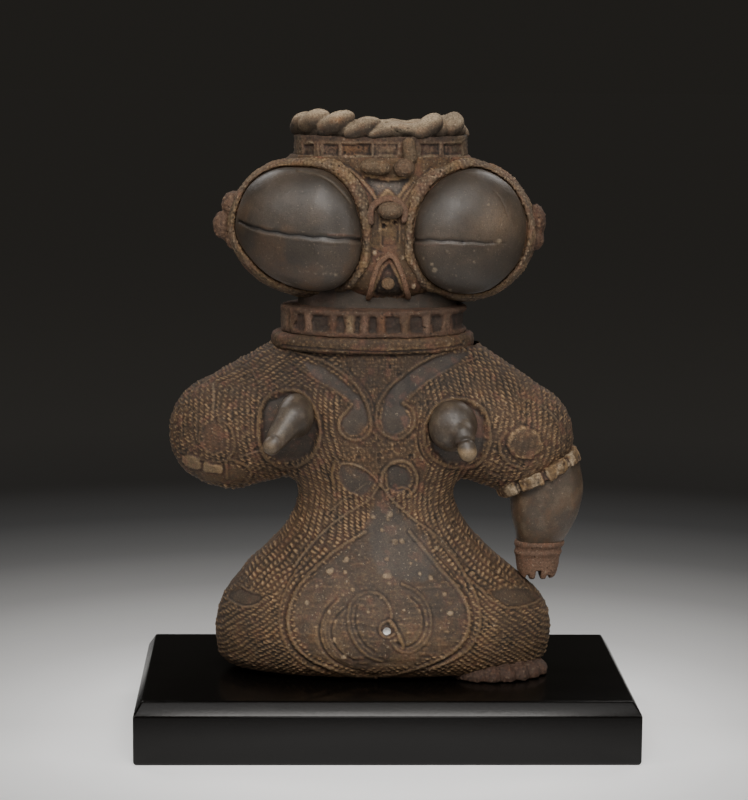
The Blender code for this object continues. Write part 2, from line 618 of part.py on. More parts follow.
def ladder(P):
    ang = np.arctan2((P[..., 1] - 1.5) / 29.3, (P[..., 0] + 5.5) / 40.5)
    bars = np.clip(np.abs(np.mod(ang * 22 / (2 * np.pi), 1.0) - 0.5) * 4.0 - 0.7, 0, 1)
    mid = np.clip(1.0 - (np.abs(P[..., 2] - 182.0) / 4.3) ** 6, 0, 1)
    sunk = 1.7 * (1 - bars) * mid
    d = ellipse2(P[..., 0], P[..., 1], -5.5, 1.5, 40.3, 29.2, 2.15) + sunk
    return bored(P, smax(d, np.abs(P[..., 2] - 182.0) - (COLLAR_Z - RING_Z - GAP) / 2, 1.2))


lump("neck_collar", ladder, (-50, -31, 173), (39, 34, 191), 1.1, 980, CLAY_WARM, 0.8,
     ((2, -1, RING_Z + GAP / 2), (2, 1, COLLAR_Z - GAP / 2)))
lump("neck", lambda P: bored(P, inter(ellipse2(P[..., 0], P[..., 1], -4.0, NECK_Y, 34.0, 18.5, 2.1),
                                      np.abs(P[..., 2] - (COLLAR_Z + NECK_TOP) / 2) - (NECK_TOP - COLLAR_Z - GAP) / 2)),
     (-42, -26, 185), (34, 30, 200), 1.8, 300, SLATE, 0.6, ((2, -1, COLLAR_Z + GAP / 2), (2, 1, NECK_TOP - GAP / 2)))


# ------------------------------------------------------------------ head
def head_solid(P):
    return inter(head(P), -neck_plug(P, 0.5), -head_cavity(P), P[..., 2] - BROW_Z + GAP / 2, COLLAR_Z + GAP / 2 - P[..., 2])


lump("head_shell", head_solid, (-72, -28, 185), (70, 34, 256), 1.9, 1350, CLAY, 0.75,
     ((2, 1, BROW_Z - GAP / 2), (2, -1, COLLAR_Z + GAP / 2)))
for side in ("right", "left"):
    cx, cz, a = EYES[side][:3]
    b = 26.5
    lump(side + "_eye", lambda P, side=side: eye_dome(P, side), (cx - a - 3, -40, cz - b - 3), (cx + a + 3, 2, cz + b + 3), 1.4, 400, SLATE, 0.35)
    half = (lambda P: P[..., 0] + 0.3 + GAP / 2) if side == "right" else (lambda P: 0.0 + GAP / 2 - P[..., 0])
    lump(side + "_eye_rim", lambda P, side=side, half=half: np.maximum(eye_rim(P, side), half(P)),
         (cx - a - 7, -32, cz - b - 7), (cx + a + 7, 1, cz + b + 7), 1.0, 560, CLAY_GREY, 0.85)


def rim_clear(P):
    """Stay off both goggle rims."""
    return np.maximum(4.85 + GAP - eye2(P, "right"), 4.85 + GAP - eye2(P, "left"))


def on_face(P, d2, proud, gap=FIT):
    return smax(d2, inter(head(P) - proud, gap - head(P), P[..., 1]), 0.5)


lump("nose_bridge", lambda P: inter(on_face(P, smax(np.abs(P[..., 0] + 0.2) - 7.0, np.abs(P[..., 2] - 221.0) - 7.2, 1.0), 2.6), rim_clear(P)),
     (-10, -34, 211), (10, -18, 231), 0.6, 240, CLAY_GREY, 0.85)
lump("nose_knob", lambda P: inter(ellipsoid(P, (-0.6, -25.5, 232.7), (7.2, 6.2, 4.1)), FIT - head(P), rim_clear(P), 228.2 + GAP - P[..., 2]),
     (-9, -34, 227), (9, -16, 239), 0.6, 160, CLAY, 0.7)
ARCH = [(-7.0, 193.5), (-5.6, 199.0), (-3.8, 205.0), (-1.8, 209.6), (-0.3, 211.0), (1.4, 209.4), (3.6, 204.5), (5.8, 198.5), (7.4, 193.5)]
lump("mouth_arch", lambda P: inter(on_face(P, path2(P[..., 0], P[..., 2], ARCH) - 1.25, 2.2), P[..., 2] - 213.5, -neck_plug(P, 0.5)),
     (-11, -32, 190), (11, -14, 215), 0.55, 300, CLAY_WARM, 0.8)
lump("mouth_pellet", lambda P: on_face(P, np.hypot(P[..., 0] + 0.6, P[..., 2] - 200.3) - 2.6, 2.4), (-5, -32, 196), (4, -14, 205), 0.5, 110, OCHRE, 0.7)
lump("right_ear_lug", lambda P: inter(smin(ellipsoid(P, (-68.0, 1.5, 227.0), (7.0, 6.5, 11.0)), ellipsoid(P, (-71.5, 1.0, 222.0), (3.6, 4.5, 4.5)), 2.0), FIT - head(P), -0.6 - P[..., 1]),
     (-80, -8, 212), (-56, 12, 242), 0.9, 220, CLAY_WARM, 0.85, ((1, -1, -0.6),))
lump("left_ear_lug", lambda P: inter(ellipsoid(P, (63.5, 1.0, 221.5), (4.8, 6.0, 10.5)), FIT - head(P), -0.6 - P[..., 1]),
     (55, -8, 208), (72, 12, 235), 0.8, 180, CLAY, 0.85, ((1, -1, -0.6),))
lump("right_forehead_pellet", lambda P: inter(ellipsoid(P, (-6.0, -22.5, 247.6), (6.0, 4.5, 3.4)), FIT - head(P), rim_clear(P), P[..., 2] - 251.7, P[..., 0] + 0.35),
     (-14, -30, 242), (2, -14, 254), 0.6, 140, CLAY_GREY, 0.8)
lump("left_forehead_pellet", lambda P: inter(ellipsoid(P, (5.6, -22.3, 247.6), (4.9, 4.5, 3.6)), FIT - head(P), rim_clear(P), P[..., 2] - 251.7, 0.35 - P[..., 0]),
     (-2, -30, 242), (12, -14, 254), 0.6, 140, CLAY_GREY, 0.8)


# ------------------------------------------------------------------ crown
def crown_bore(P):
    return ellipse2(P[..., 0], P[..., 1], -3.1, 3.0, 31.0, 16.5, 2.2)


lump("crown_wall", lambda P: inter(smax(ellipse2(P[..., 0], P[..., 1], -3.1, 3.0, 37.4, 23.2, 2.2) + 0.9 * (np.abs(P[..., 2] - 256.5) < 2.6), np.abs(P[..., 2] - 256.5) - 4.5 + GAP / 2, 0.8), -crown_bore(P)),
     (-44, -23, 250), (38, 30, 263), 1.3, 560, CLAY_GREY, 0.85, ((2, -1, BROW_Z + GAP / 2), (2, 1, CROWN_Z - GAP / 2)))


def rope(P):
    x, y, z = (P[..., 0] + 3.1), (P[..., 1] - 3.0), P[..., 2]
    ang = np.arctan2(y / 20.3, x / 34.6)
    k = np.hypot(x / 34.6, y / 20.3) + 1e-9
    r = np.hypot(x, y)
    rad = r * (1 - 1 / k)
    best = None
    for ph in (0.0, np.pi):
        u, w = rad - 2.1 * np.cos(9 * ang + ph), z - 265.6 - 1.7 * np.sin(9 * ang + ph)
        d = np.hypot(u, w) - 3.55
        best = d if best is None else smin(best, d, 1.0)
    return inter(best, CROWN_Z + GAP / 2 - z)


lump("crown_rope", rope, (-47, -26, 258), (41, 32, 273), 1.2, 1150, CLAY_GREY, 0.85, ((2, -1, CROWN_Z + GAP / 2),))
lump("crown_lug", lambda P: inter(segment(P, (8.6, -20.5, 253.6), (8.6, -22.0, 259.0), 3.0, 2.6),
                                  FIT - smax(ellipse2(P[..., 0], P[..., 1], -3.1, 3.0, 37.4, 23.2, 2.2), 240.0 - P[..., 2], 1.0),
                                  P[..., 2] - CROWN_Z + GAP / 2, 251.6 - P[..., 2]),
     (3, -28, 250), (14, -15, 263), 0.6, 130, CLAY_GREY, 0.85, ((2, 1, CROWN_Z - GAP / 2),))
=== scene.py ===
import math

import bmesh
import bpy
import numpy as np
from mathutils import Matrix, Vector


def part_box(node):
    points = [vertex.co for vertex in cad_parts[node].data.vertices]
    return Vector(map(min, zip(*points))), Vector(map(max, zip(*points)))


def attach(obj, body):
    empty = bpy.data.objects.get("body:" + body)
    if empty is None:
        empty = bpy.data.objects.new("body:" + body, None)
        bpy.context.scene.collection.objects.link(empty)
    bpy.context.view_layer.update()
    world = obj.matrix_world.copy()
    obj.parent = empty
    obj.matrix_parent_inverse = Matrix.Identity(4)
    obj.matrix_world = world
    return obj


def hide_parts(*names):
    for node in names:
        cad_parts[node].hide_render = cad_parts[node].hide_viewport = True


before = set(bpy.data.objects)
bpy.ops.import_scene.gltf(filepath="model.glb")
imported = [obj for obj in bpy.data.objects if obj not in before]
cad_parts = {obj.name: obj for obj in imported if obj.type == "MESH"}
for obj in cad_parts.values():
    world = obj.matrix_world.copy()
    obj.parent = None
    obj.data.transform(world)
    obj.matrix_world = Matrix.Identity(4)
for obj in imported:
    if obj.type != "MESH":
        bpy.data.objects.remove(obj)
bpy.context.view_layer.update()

MM = 0.001
MID = 2.0            # the figure's middle plane, y in mm

# ------------------------------------------------------------------ camera, in mm
CAM = np.array([-41.92, -1163.67, 315.5])
YAW, PITCH, ROLL = 0.0316, 0.1447, 0.0083
FOCAL = 2697.8       # in picture heights of 800


def camera_axes():
    f = np.array([math.sin(YAW) * math.cos(PITCH), math.cos(YAW) * math.cos(PITCH), -math.sin(PITCH)])
    r = np.cross(f, [0, 0, 1.0])
    r /= np.linalg.norm(r)
    u = np.cross(r, f)
    c, s = math.cos(ROLL), math.sin(ROLL)
    return c * r + s * u, -s * r + c * u, f


RIGHT, UP, FWD = camera_axes()


def face_on(P):
    """Front-view drawing coordinates of points in mm; the back wall uses the same drawing, mirrored through the middle plane."""
    y = np.where(P[:, 1] > MID, 2 * MID - P[:, 1], P[:, 1])
    d = np.stack([P[:, 0], y, P[:, 2]], 1) - CAM
    z = d @ FWD
    return 374 + FOCAL * (d @ RIGHT) / z, 400 - FOCAL * (d @ UP) / z


# ------------------------------------------------------------------ noise
def rnd(ix, iy, iz, seed):
    h = (ix.astype(np.int64) * 374761393 + iy.astype(np.int64) * 668265263 + iz.astype(np.int64) * 2147483587 + seed * 974711) & 0xFFFFFFFF
    h = (h ^ (h >> 13)) * 1274126177 & 0xFFFFFFFF
    h = (h ^ (h >> 16)) * 2246822519 & 0xFFFFFFFF
    return ((h ^ (h >> 15)) & 0xFFFFFF) / float(0xFFFFFF)


def noise(P, size, seed=0):
    q = P / size
    i = np.floor(q).astype(np.int64)
    f = q - i
    f = f * f * (3 - 2 * f)
    out = 0
    for a in (0, 1):
        wa = f[:, 0] if a else 1 - f[:, 0]
        for b in (0, 1):
            wb = f[:, 1] if b else 1 - f[:, 1]
            for c in (0, 1):
                wc = f[:, 2] if c else 1 - f[:, 2]
                out = out + wa * wb * wc * rnd(i[:, 0] + a, i[:, 1] + b, i[:, 2] + c, seed)
    return out


def fbm(P, size, octaves=3, seed=0):
    out, amp, tot = 0, 1.0, 0.0
    for k in range(octaves):
        out = out + amp * noise(P, size / 2 ** k, seed + 17 * k)
        tot += amp
        amp *= 0.5
    return out / tot


def cells(P, size, seed=0):
    """Distance to the nearest scattered point, in units of the cell, and that point's own random value."""
    q = P / size
    i = np.floor(q).astype(np.int64)
    best = np.full(len(P), 9.0)
    val = np.zeros(len(P))
    for a in (-1, 0, 1):
        for b in (-1, 0, 1):
            for c in (-1, 0, 1):
                j = i + np.array((a, b, c))
                o = np.stack([rnd(j[:, 0], j[:, 1], j[:, 2], seed + k) for k in (1, 2, 3)], 1)
                d = np.sqrt(((j + 0.15 + 0.7 * o - q) ** 2).sum(1))
                m = d < best
                best = np.where(m, d, best)
                val = np.where(m, rnd(j[:, 0], j[:, 1], j[:, 2], seed + 9), val)
    return best, val


# ------------------------------------------------------------------ fields, mm
def smin(a, b, k):
    h = np.clip(0.5 + 0.5 * (b - a) / k, 0, 1)
    return b * (1 - h) + a * h - k * h * (1 - h)


def smax(a, b, k):
    return -smin(-a, -b, k)


def spline(z, zs, vs):
    i = np.clip(np.searchsorted(zs, z) - 1, 0, len(zs) - 2)
    h = zs[i + 1] - zs[i]
    t = np.clip((z - zs[i]) / h, 0, 1)
    d = np.gradient(vs, zs)
    t2, t3 = t * t, t * t * t
    return ((2 * t3 - 3 * t2 + 1) * vs[i] + (t3 - 2 * t2 + t) * d[i] * h
            + (-2 * t3 + 3 * t2) * vs[i + 1] + (t3 - t2) * d[i + 1] * h)


def ellipse2(x, y, cx, cy, a, b, e=2.0):
    u, v = np.abs(x - cx) / a, np.abs(y - cy) / b
    rho = (u ** e + v ** e) ** (1 / e) + 1e-9
    r = np.sqrt((x - cx) ** 2 + (y - cy) ** 2)
    return np.where(rho < 0.5, -(1 - rho) * np.minimum(a, b), r * (1 - 1 / rho))


def ellipsoid(P, c, rad):
    q = P - np.array(c, float)
    rad = np.array(rad, float)
    k0 = np.sqrt(((q / rad) ** 2).sum(-1)) + 1e-9
    k1 = np.sqrt(((q / rad ** 2) ** 2).sum(-1)) + 1e-9
    return np.where(k0 < 0.3, -(1 - k0) * rad.min(), k0 * (k0 - 1) / k1)


TRUNK = np.array([
    (26.0, -40, 42, -12, 14), (27.3, -56, 57, -21, 23), (29, -66, 65.5, -29, 29.5), (32, -71.2, 70, -34, 33.5),
    (38, -73.6, 72.6, -38, 36), (44, -74.2, 73.6, -39.5, 37), (50, -73.6, 73.2, -39.8, 37), (56, -72, 71.4, -39, 36),
    (62, -69, 67, -37.5, 34.5), (68, -64.8, 60.8, -35.5, 32.5), (74, -60, 53.8, -33, 30.5), (80, -53.6, 46.8, -30.5, 28.5),
    (86, -47.6, 40.6, -28, 26.5), (92, -42.6, 35.8, -26, 25), (98, -39.6, 32.3, -24.8, 24.3), (104, -38.2, 30.4, -24.5, 24),
    (110, -38.8, 31, -25, 24.5), (117, -41, 33.5, -26.5, 25.5), (125, -44, 37, -27.5, 26.5), (133, -46, 39.5, -28, 27),
    (141, -47, 41, -28, 27), (149, -47, 41, -27, 26.3), (157, -46, 39.5, -25.8, 25.3), (164, -45, 38, -25, 24.5),
    (171, -44, 37, -24.5, 24.2), (178, -43, 36, -24, 24)], float)
SEAT_Z, WAIST_Z, SHOULDER_Z, RING_Z, COLLAR_Z, NECK_TOP, BROW_Z, CROWN_Z = 27.3, 88.0, 170.0, 176.0, 188.0, 197.0, 252.0, 261.0
LEG_R_X, LEG_L_X, ARM_R_X, ARM_L_X = -42.0, 40.0, -48.0, 41.6
NAVEL = (0.0, 51.5)
ARM_R = ((-33, 146), (-69, 131.5), 30.5, 25.5, 25.5, 22.5)
ARM_L = ((25.5, 145.5), (57.5, 129.5), 29.5, 25.0, 25.5, 22.0)


def trunk(P):
    x, y, z = P[..., 0], P[..., 1], P[..., 2]
    zs = TRUNK[:, 0]
    zc = np.clip(z, zs[0], zs[-1])
    xl, xr, yf, yb = (spline(zc, zs, TRUNK[:, k]) for k in (1, 2, 3, 4))
    b = np.where(y < MID, MID - yf, yb - MID)
    return ellipse2(x, y, (xl + xr) / 2, MID, (xr - xl) / 2, b, 2.25)


def limb(P, a, b, ra, rb, da, db, yc=MID):
    a, b = np.array(a, float), np.array(b, float)
    q, ab = P[..., [0, 2]] - a, b - a
    t = np.clip((q @ ab) / (ab @ ab), 0, 1)
    d = q - t[..., None] * ab
    r = ra + (rb - ra) * t
    s = r / (da + (db - da) * t)
    return np.sqrt(d[..., 0] ** 2 + d[..., 1] ** 2 + ((P[..., 1] - yc) * s) ** 2) - r


def segment(P, a, b, ra, rb):
    a, b = np.array(a, float), np.array(b, float)
    q, ab = P - a, b - a
    t = np.clip((q @ ab) / (ab @ ab), 0, 1)
    return np.sqrt(((q - t[..., None] * ab) ** 2).sum(-1)) - (ra + (rb - ra) * t)


def core(P):
    d = smax(trunk(P), P[..., 2] - 173.5, 3.0)
    stump = (108.0 - P[..., 2] - 0.38 * (P[..., 0] + 78.0)) * 0.93
    d = smin(d, smax(limb(P, *ARM_R), stump, 5.0), 6.0)
    d = smin(d, limb(P, *ARM_L), 6.0)
    return smax(d, SEAT_Z - P[..., 2], 1.2)


def well(P):
    """The hole in the underside that takes the pin."""
    return np.maximum(np.hypot(P[..., 0], P[..., 1] - MID) - 9.5, P[..., 2] - 82.0)


def body_field(P):
    navel = np.maximum(np.hypot(P[..., 0] - NAVEL[0], P[..., 2] - NAVEL[1]) - 1.8, P[..., 1] + 37.3)
    return np.maximum(smax(core(P), -navel, 0.8), -well(P))


# ------------------------------------------------------------------ meshing
def nets(f, lo, hi, h, coarse=4, reach=1.5):
    """Surface net of f < 0, evaluated only near the surface: vertices in mm and quads, outward."""
    lo = np.array(lo, float)
    nc = np.ceil((np.array(hi, float) - lo) / (h * coarse)).astype(int) + 1
    n = (nc - 1) * coarse + 1
    H = h * coarse
    axc = [lo[k] + H * np.arange(nc[k]) for k in range(3)]
    C = f(np.stack(np.meshgrid(*axc, indexing="ij"), -1))
    lowest = np.full(nc - 1, 1e9)
    for i in (0, 1):
        for j in (0, 1):
            for k in (0, 1):
                lowest = np.minimum(lowest, np.abs(C[i:nc[0] - 1 + i, j:nc[1] - 1 + j, k:nc[2] - 1 + k]))
    cell = lowest < H * reach
    need = np.zeros(n, bool)
    up = np.repeat(np.repeat(np.repeat(cell, coarse, 0), coarse, 1), coarse, 2)
    need[:-1, :-1, :-1] = up
    for ax in range(3):
        s = np.roll(need, 1, ax)
        idx = [slice(None)] * 3
        idx[ax] = 0
        s[tuple(idx)] = False
        need |= s
    near = np.clip(np.round(np.arange(n.max()) / coarse).astype(int), 0, None)
    V = C[np.ix_(*[np.minimum(near[:n[k]], nc[k] - 1) for k in range(3)])].astype(np.float64)
    V = np.where(V < 0, -9.0, 9.0)
    ijk = np.argwhere(need)
    P = lo + h * ijk
    out = np.empty(len(P))
    for s in range(0, len(P), 400000):
        out[s:s + 400000] = f(P[s:s + 400000])
    V[tuple(ijk.T)] = out
    V[0], V[-1], V[:, 0], V[:, -1], V[:, :, 0], V[:, :, -1] = (9.0,) * 6
    S = V < 0
    c = np.zeros(n - 1, np.int8)
    corners = [(i, j, k) for i in (0, 1) for j in (0, 1) for k in (0, 1)]
    for i, j, k in corners:
        c += S[i:n[0] - 1 + i, j:n[1] - 1 + j, k:n[2] - 1 + k]
    act = (c > 0) & (c < 8)
    idx = -np.ones(act.shape, np.int64)
    ii = np.argwhere(act)
    idx[act] = np.arange(len(ii))
    acc, cnt = np.zeros((len(ii), 3)), np.zeros(len(ii))
    for p in corners:
        for ax in range(3):
            if p[ax]:
                continue
            q = list(p)
            q[ax] = 1
            v0 = V[ii[:, 0] + p[0], ii[:, 1] + p[1], ii[:, 2] + p[2]]
            v1 = V[ii[:, 0] + q[0], ii[:, 1] + q[1], ii[:, 2] + q[2]]
            cr = (v0 < 0) != (v1 < 0)
            t = np.where(cr, v0 / np.where(cr, v0 - v1, 1.0), 0)
            pt = np.tile(np.array(p, float), (len(ii), 1))
            pt[:, ax] += t
            acc += pt * cr[:, None]
            cnt += cr
    verts = lo + h * (ii + acc / cnt[:, None])
    faces = []
    for ax in range(3):
        a1, a2 = (ax + 1) % 3, (ax + 2) % 3
        s0, s1 = [slice(None)] * 3, [slice(None)] * 3
        s0[ax], s1[ax] = slice(0, n[ax] - 1), slice(1, n[ax])
        d0, d1 = S[tuple(s0)], S[tuple(s1)]
        e = np.argwhere(d0 != d1)
        e = e[(e[:, a1] > 0) & (e[:, a2] > 0)]
        inside = d0[tuple(e.T)]

        def at(o1, o2):
            q = e.copy()
            q[:, a1] -= o1
            q[:, a2] -= o2
            return idx[tuple(q.T)]
        quad = np.stack([at(1, 1), at(0, 1), at(0, 0), at(1, 0)], 1)
        quad[~inside] = quad[~inside][:, ::-1]
        faces.append(quad)
    return verts, np.concatenate(faces)


def normals_of(f, P, e=0.25):
    g = np.empty_like(P)
    for k in range(3):
        d = np.zeros(3)
        d[k] = e
        g[:, k] = f(P + d) - f(P - d)
    return g / (np.linalg.norm(g, axis=1, keepdims=True) + 1e-12)


def smooth_over(quads, n, val, times):
    """Average a value over the mesh's edges."""
    a = np.concatenate([quads[:, k] for k in range(4)])
    b = np.concatenate([quads[:, (k + 1) % 4] for k in range(4)])
    deg = np.bincount(a, minlength=n) + np.bincount(b, minlength=n)
    for _ in range(times):
        s = np.bincount(a, val[b], n) + np.bincount(b, val[a], n)
        val = 0.35 * val + 0.65 * s / np.maximum(deg, 1)
    return val


def relax(quads, V, times, pin=None):
    for _ in range(times):
        S = np.stack([smooth_over(quads, len(V), V[:, k], 1) for k in range(3)], 1)
        V = S if pin is None else np.where(pin[:, None], V, S)
    return V


# ------------------------------------------------------------------ drawing on the clay
def curve(pts, closed=False, steps=6):
    """Catmull-Rom through the control points."""
    p = np.array(pts, float)
    if len(p) < 3:
        return p
    q = np.vstack([p[-1], p, p[0], p[1]]) if closed else np.vstack([2 * p[0] - p[1], p, 2 * p[-1] - p[-2]])
    out = []
    for i in range(len(q) - 3):
        a, b, c, d = q[i:i + 4]
        for t in np.arange(steps) / steps:
            out.append(0.5 * (2 * b + (c - a) * t + (2 * a - 5 * b + 4 * c - d) * t * t + (3 * b - a - 3 * c + d) * t ** 3))
    out.append(q[-2] if not closed else out[0])
    return np.array(out)


class Relief:
    """Heights in mm, and masks for colour, over a set of points."""

    def __init__(self, P):
        self.P = P
        self.U, self.V = face_on(P)
        self.front = P[:, 1] <= MID
        n = len(P)
        self.h = np.zeros(n)
        self.tex = np.ones(n)
        self.m = {k: np.zeros(n) for k in ("slate", "ochre", "red", "pale", "gloss", "orange", "chalk")}
        self.tone = np.full(n, 0.5)
        self.rm = np.zeros(n)
        self.stip = np.zeros(n)

    def near(self, pts, margin, only_front=False):
        lo, hi = pts.min(0) - margin, pts.max(0) + margin
        m = (self.U > lo[0]) & (self.U < hi[0]) & (self.V > lo[1]) & (self.V < hi[1])
        if only_front:
            m &= self.front
        return np.flatnonzero(m)

    def dist(self, pts, idx):
        u, v = self.U[idx], self.V[idx]
        best = np.full(len(idx), 1e9)
        for (x0, y0), (x1, y1) in zip(pts[:-1], pts[1:]):
            dx, dy = x1 - x0, y1 - y0
            t = np.clip(((u - x0) * dx + (v - y0) * dy) / (dx * dx + dy * dy + 1e-9), 0, 1)
            best = np.minimum(best, (u - x0 - t * dx) ** 2 + (v - y0 - t * dy) ** 2)
        return np.sqrt(best)

    def paint(self, idx, w, **kw):
        for k, a in kw.items():
            if k == "tone":
                self.tone[idx] += a * w
            elif k == "stipple":
                self.stip[idx] = np.clip(self.stip[idx] + a * w, 0, 1)
            else:
                self.m[k][idx] = np.maximum(self.m[k][idx], a * w)

    def ridge(self, pts, w, h, closed=False, bank=0.25, front=False, taper=False, **kw):
        c = curve(pts, closed)
        idx = self.near(c, 3 * w, front)
        if not len(idx):
            return
        d = self.dist(c, idx)
        if taper:
            L = np.linspace(0, 1, len(c))
            u, v = self.U[idx], self.V[idx]
            k = np.argmin((u[:, None] - c[None, ::3, 0]) ** 2 + (v[:, None] - c[None, ::3, 1]) ** 2, 1)
            t = L[::3][k]
            ww = np.clip(np.minimum(t, 1 - t) * 6 + 0.25, 0.25, 1)
        else:
            ww = 1.0
        Q = self.P[idx]
        w, h = 0.70 * w, 0.80 * h
        wob = 1 + 0.9 * (fbm(Q, 3.0, 3, 5) - 0.5)
        up = np.clip(0.10 + 1.05 * fbm(Q, 6.0, 3, 6), 0.1, 1.2)
        p = np.clip(1 - (d / (w * wob)) ** 2, 0, 1) ** 1.4
        side = np.exp(-((d - 1.45 * w) / (0.45 * w)) ** 2)
        self.h[idx] += h * up * ww * p - bank * h * ww * side
        self.tex[idx] *= 1 - 0.55 * np.clip(1 - (d / (1.25 * w)) ** 2, 0, 1)
        self.rm[idx] = np.maximum(self.rm[idx], p)
        self.paint(idx, p * np.clip(1.7 * fbm(Q, 4.0, 3, 7) - 0.15, 0, 1.2), **kw)

    def groove(self, pts, w, h, closed=False, front=False, **kw):
        c = curve(pts, closed)
        idx = self.near(c, 4 * w, front)
        if not len(idx):
            return
        d = self.dist(c, idx)
        p = np.exp(-(d / w) ** 2)
        self.h[idx] -= h * p
        self.tex[idx] *= 1 - 0.7 * p
        self.paint(idx, p, **kw)

    def patch(self, pts, depth, soft=2.0, texture=0.0, front=False, smooth=True, **kw):
        """A smoothed area: pressed in, cord marks gone."""
        c = curve(pts, True) if smooth else np.vstack([np.array(pts, float), pts[0]])
        idx = self.near(c, 3 * soft, front)
        if not len(idx):
            return
        d = self.dist(c, idx)
        u, v = self.U[idx], self.V[idx]
        inside = np.zeros(len(idx), bool)
        for (x0, y0), (x1, y1) in zip(c[:-1], c[1:]):
            cross = ((y0 > v) != (y1 > v)) & (u < (x1 - x0) * (v - y0) / (y1 - y0 + 1e-12) + x0)
            inside ^= cross
        jit = 2.2 * soft * (fbm(self.P[idx], 3.2, 3, 9) - 0.5)
        s = np.clip(0.5 + (np.where(inside, d, -d) + jit) / (2 * soft), 0, 1)
        s = s * s * (3 - 2 * s)
        self.h[idx] -= depth * s
        self.tex[idx] *= 1 - (1 - texture) * s
        self.paint(idx, s, **kw)

    def dot(self, u, v, r, h, front=True, **kw):
        idx = np.flatnonzero((np.abs(self.U - u) < 2 * r) & (np.abs(self.V - v) < 2 * r) & (self.front | (not front)))
        if not len(idx):
            return
        d = np.hypot(self.U[idx] - u, self.V[idx] - v) * (1 + 1.0 * (noise(self.P[idx], 1.9, 3) - 0.5))
        p = np.clip(1 - (d / r) ** 2, 0, 1)
        self.h[idx] += h * p ** 0.7
        self.tex[idx] *= 1 - 0.8 * p
        self.paint(idx, np.clip(p * 1.8, 0, 1) * np.clip(1.8 * fbm(self.P[idx], 2.2, 2, 12) - 0.2, 0, 1.1), **kw)


def beads(row, along, pitch, knot, lean=1.0):
    """Rows of twisted-cord impressions: 0 in the gaps, 1 on the grains."""
    k = row / pitch
    n = np.floor(k)
    r = np.abs(np.sin(np.pi * k))
    ph = along / knot + lean * (k - n) + 0.37 * n + 0.6 * np.sin(n * 12.9898)
    g = 0.5 + 0.5 * np.cos(2 * np.pi * ph)
    q = np.sin(n * 127.1 + np.round(ph) * 311.7) * 43758.5453
    q -= np.floor(q)
    return r ** 1.1 * (0.30 + 0.70 * g) * (0.50 + 0.75 * q)


def arm_rows(P, arm):
    a, b = np.array(arm[0], float), np.array(arm[1], float)
    q, ab = P[:, [0, 2]] - a, b - a
    L = np.linalg.norm(ab)
    t = (q @ ab) / L
    tc = np.clip(t / L, 0, 1)
    d = q - tc[:, None] * ab
    r = np.hypot(d[:, 0], d[:, 1])
    ang = np.arctan2(q[:, 1] * ab[0] / L - q[:, 0] * ab[1] / L, t)
    return r, np.where((t > 0) & (t < L), t, np.where(t <= 0, ang * 20.0, L + ang * 18.0))


# ------------------------------------------------------------------ materials
def links(nt):
    return nt.nodes, nt.links


def rgb(c):
    return (c[0], c[1], c[2], 1.0)


def mixer(nt, a, b, fac, blend="MIX"):
    m = nt.nodes.new("ShaderNodeMix")
    m.data_type = "RGBA"
    m.blend_type = blend
    m.clamp_factor = True
    for sock, val in ((m.inputs[6], a), (m.inputs[7], b), (m.inputs[0], fac)):
        if hasattr(val, "links"):
            nt.links.new(val, sock)
        elif isinstance(val, (tuple, list)):
            sock.default_value = rgb(val)
        else:
            sock.default_value = val
    return m.outputs[2]


def mathn(nt, op, a, b=None, c=None, clamp=False):
    m = nt.nodes.new("ShaderNodeMath")
    m.operation = op
    m.use_clamp = clamp
    for k, val in enumerate((a, b, c)):
        if val is None:
            continue
        if hasattr(val, "links"):
            nt.links.new(val, m.inputs[k])
        else:
            m.inputs[k].default_value = val
    return m.outputs[0]


def noise_node(nt, coord, scale, detail=4, rough=0.6, dist=0.0):
    n = nt.nodes.new("ShaderNodeTexNoise")
    n.inputs["Scale"].default_value = scale
    n.inputs["Detail"].default_value = detail
    n.inputs["Roughness"].default_value = rough
    n.inputs["Distortion"].default_value = dist
    nt.links.new(coord, n.inputs["Vector"])
    return n.outputs["Fac"]


def ramp(nt, fac, stops):
    r = nt.nodes.new("ShaderNodeValToRGB")
    r.color_ramp.elements[0].position = stops[0][0]
    r.color_ramp.elements[0].color = rgb(stops[0][1])
    r.color_ramp.elements[1].position = stops[-1][0]
    r.color_ramp.elements[1].color = rgb(stops[-1][1])
    for pos, col in stops[1:-1]:
        e = r.color_ramp.elements.new(pos)
        e.color = rgb(col)
    nt.links.new(fac, r.inputs[0])
    return r.outputs[0]


def g3(v):
    return (v, v, v)


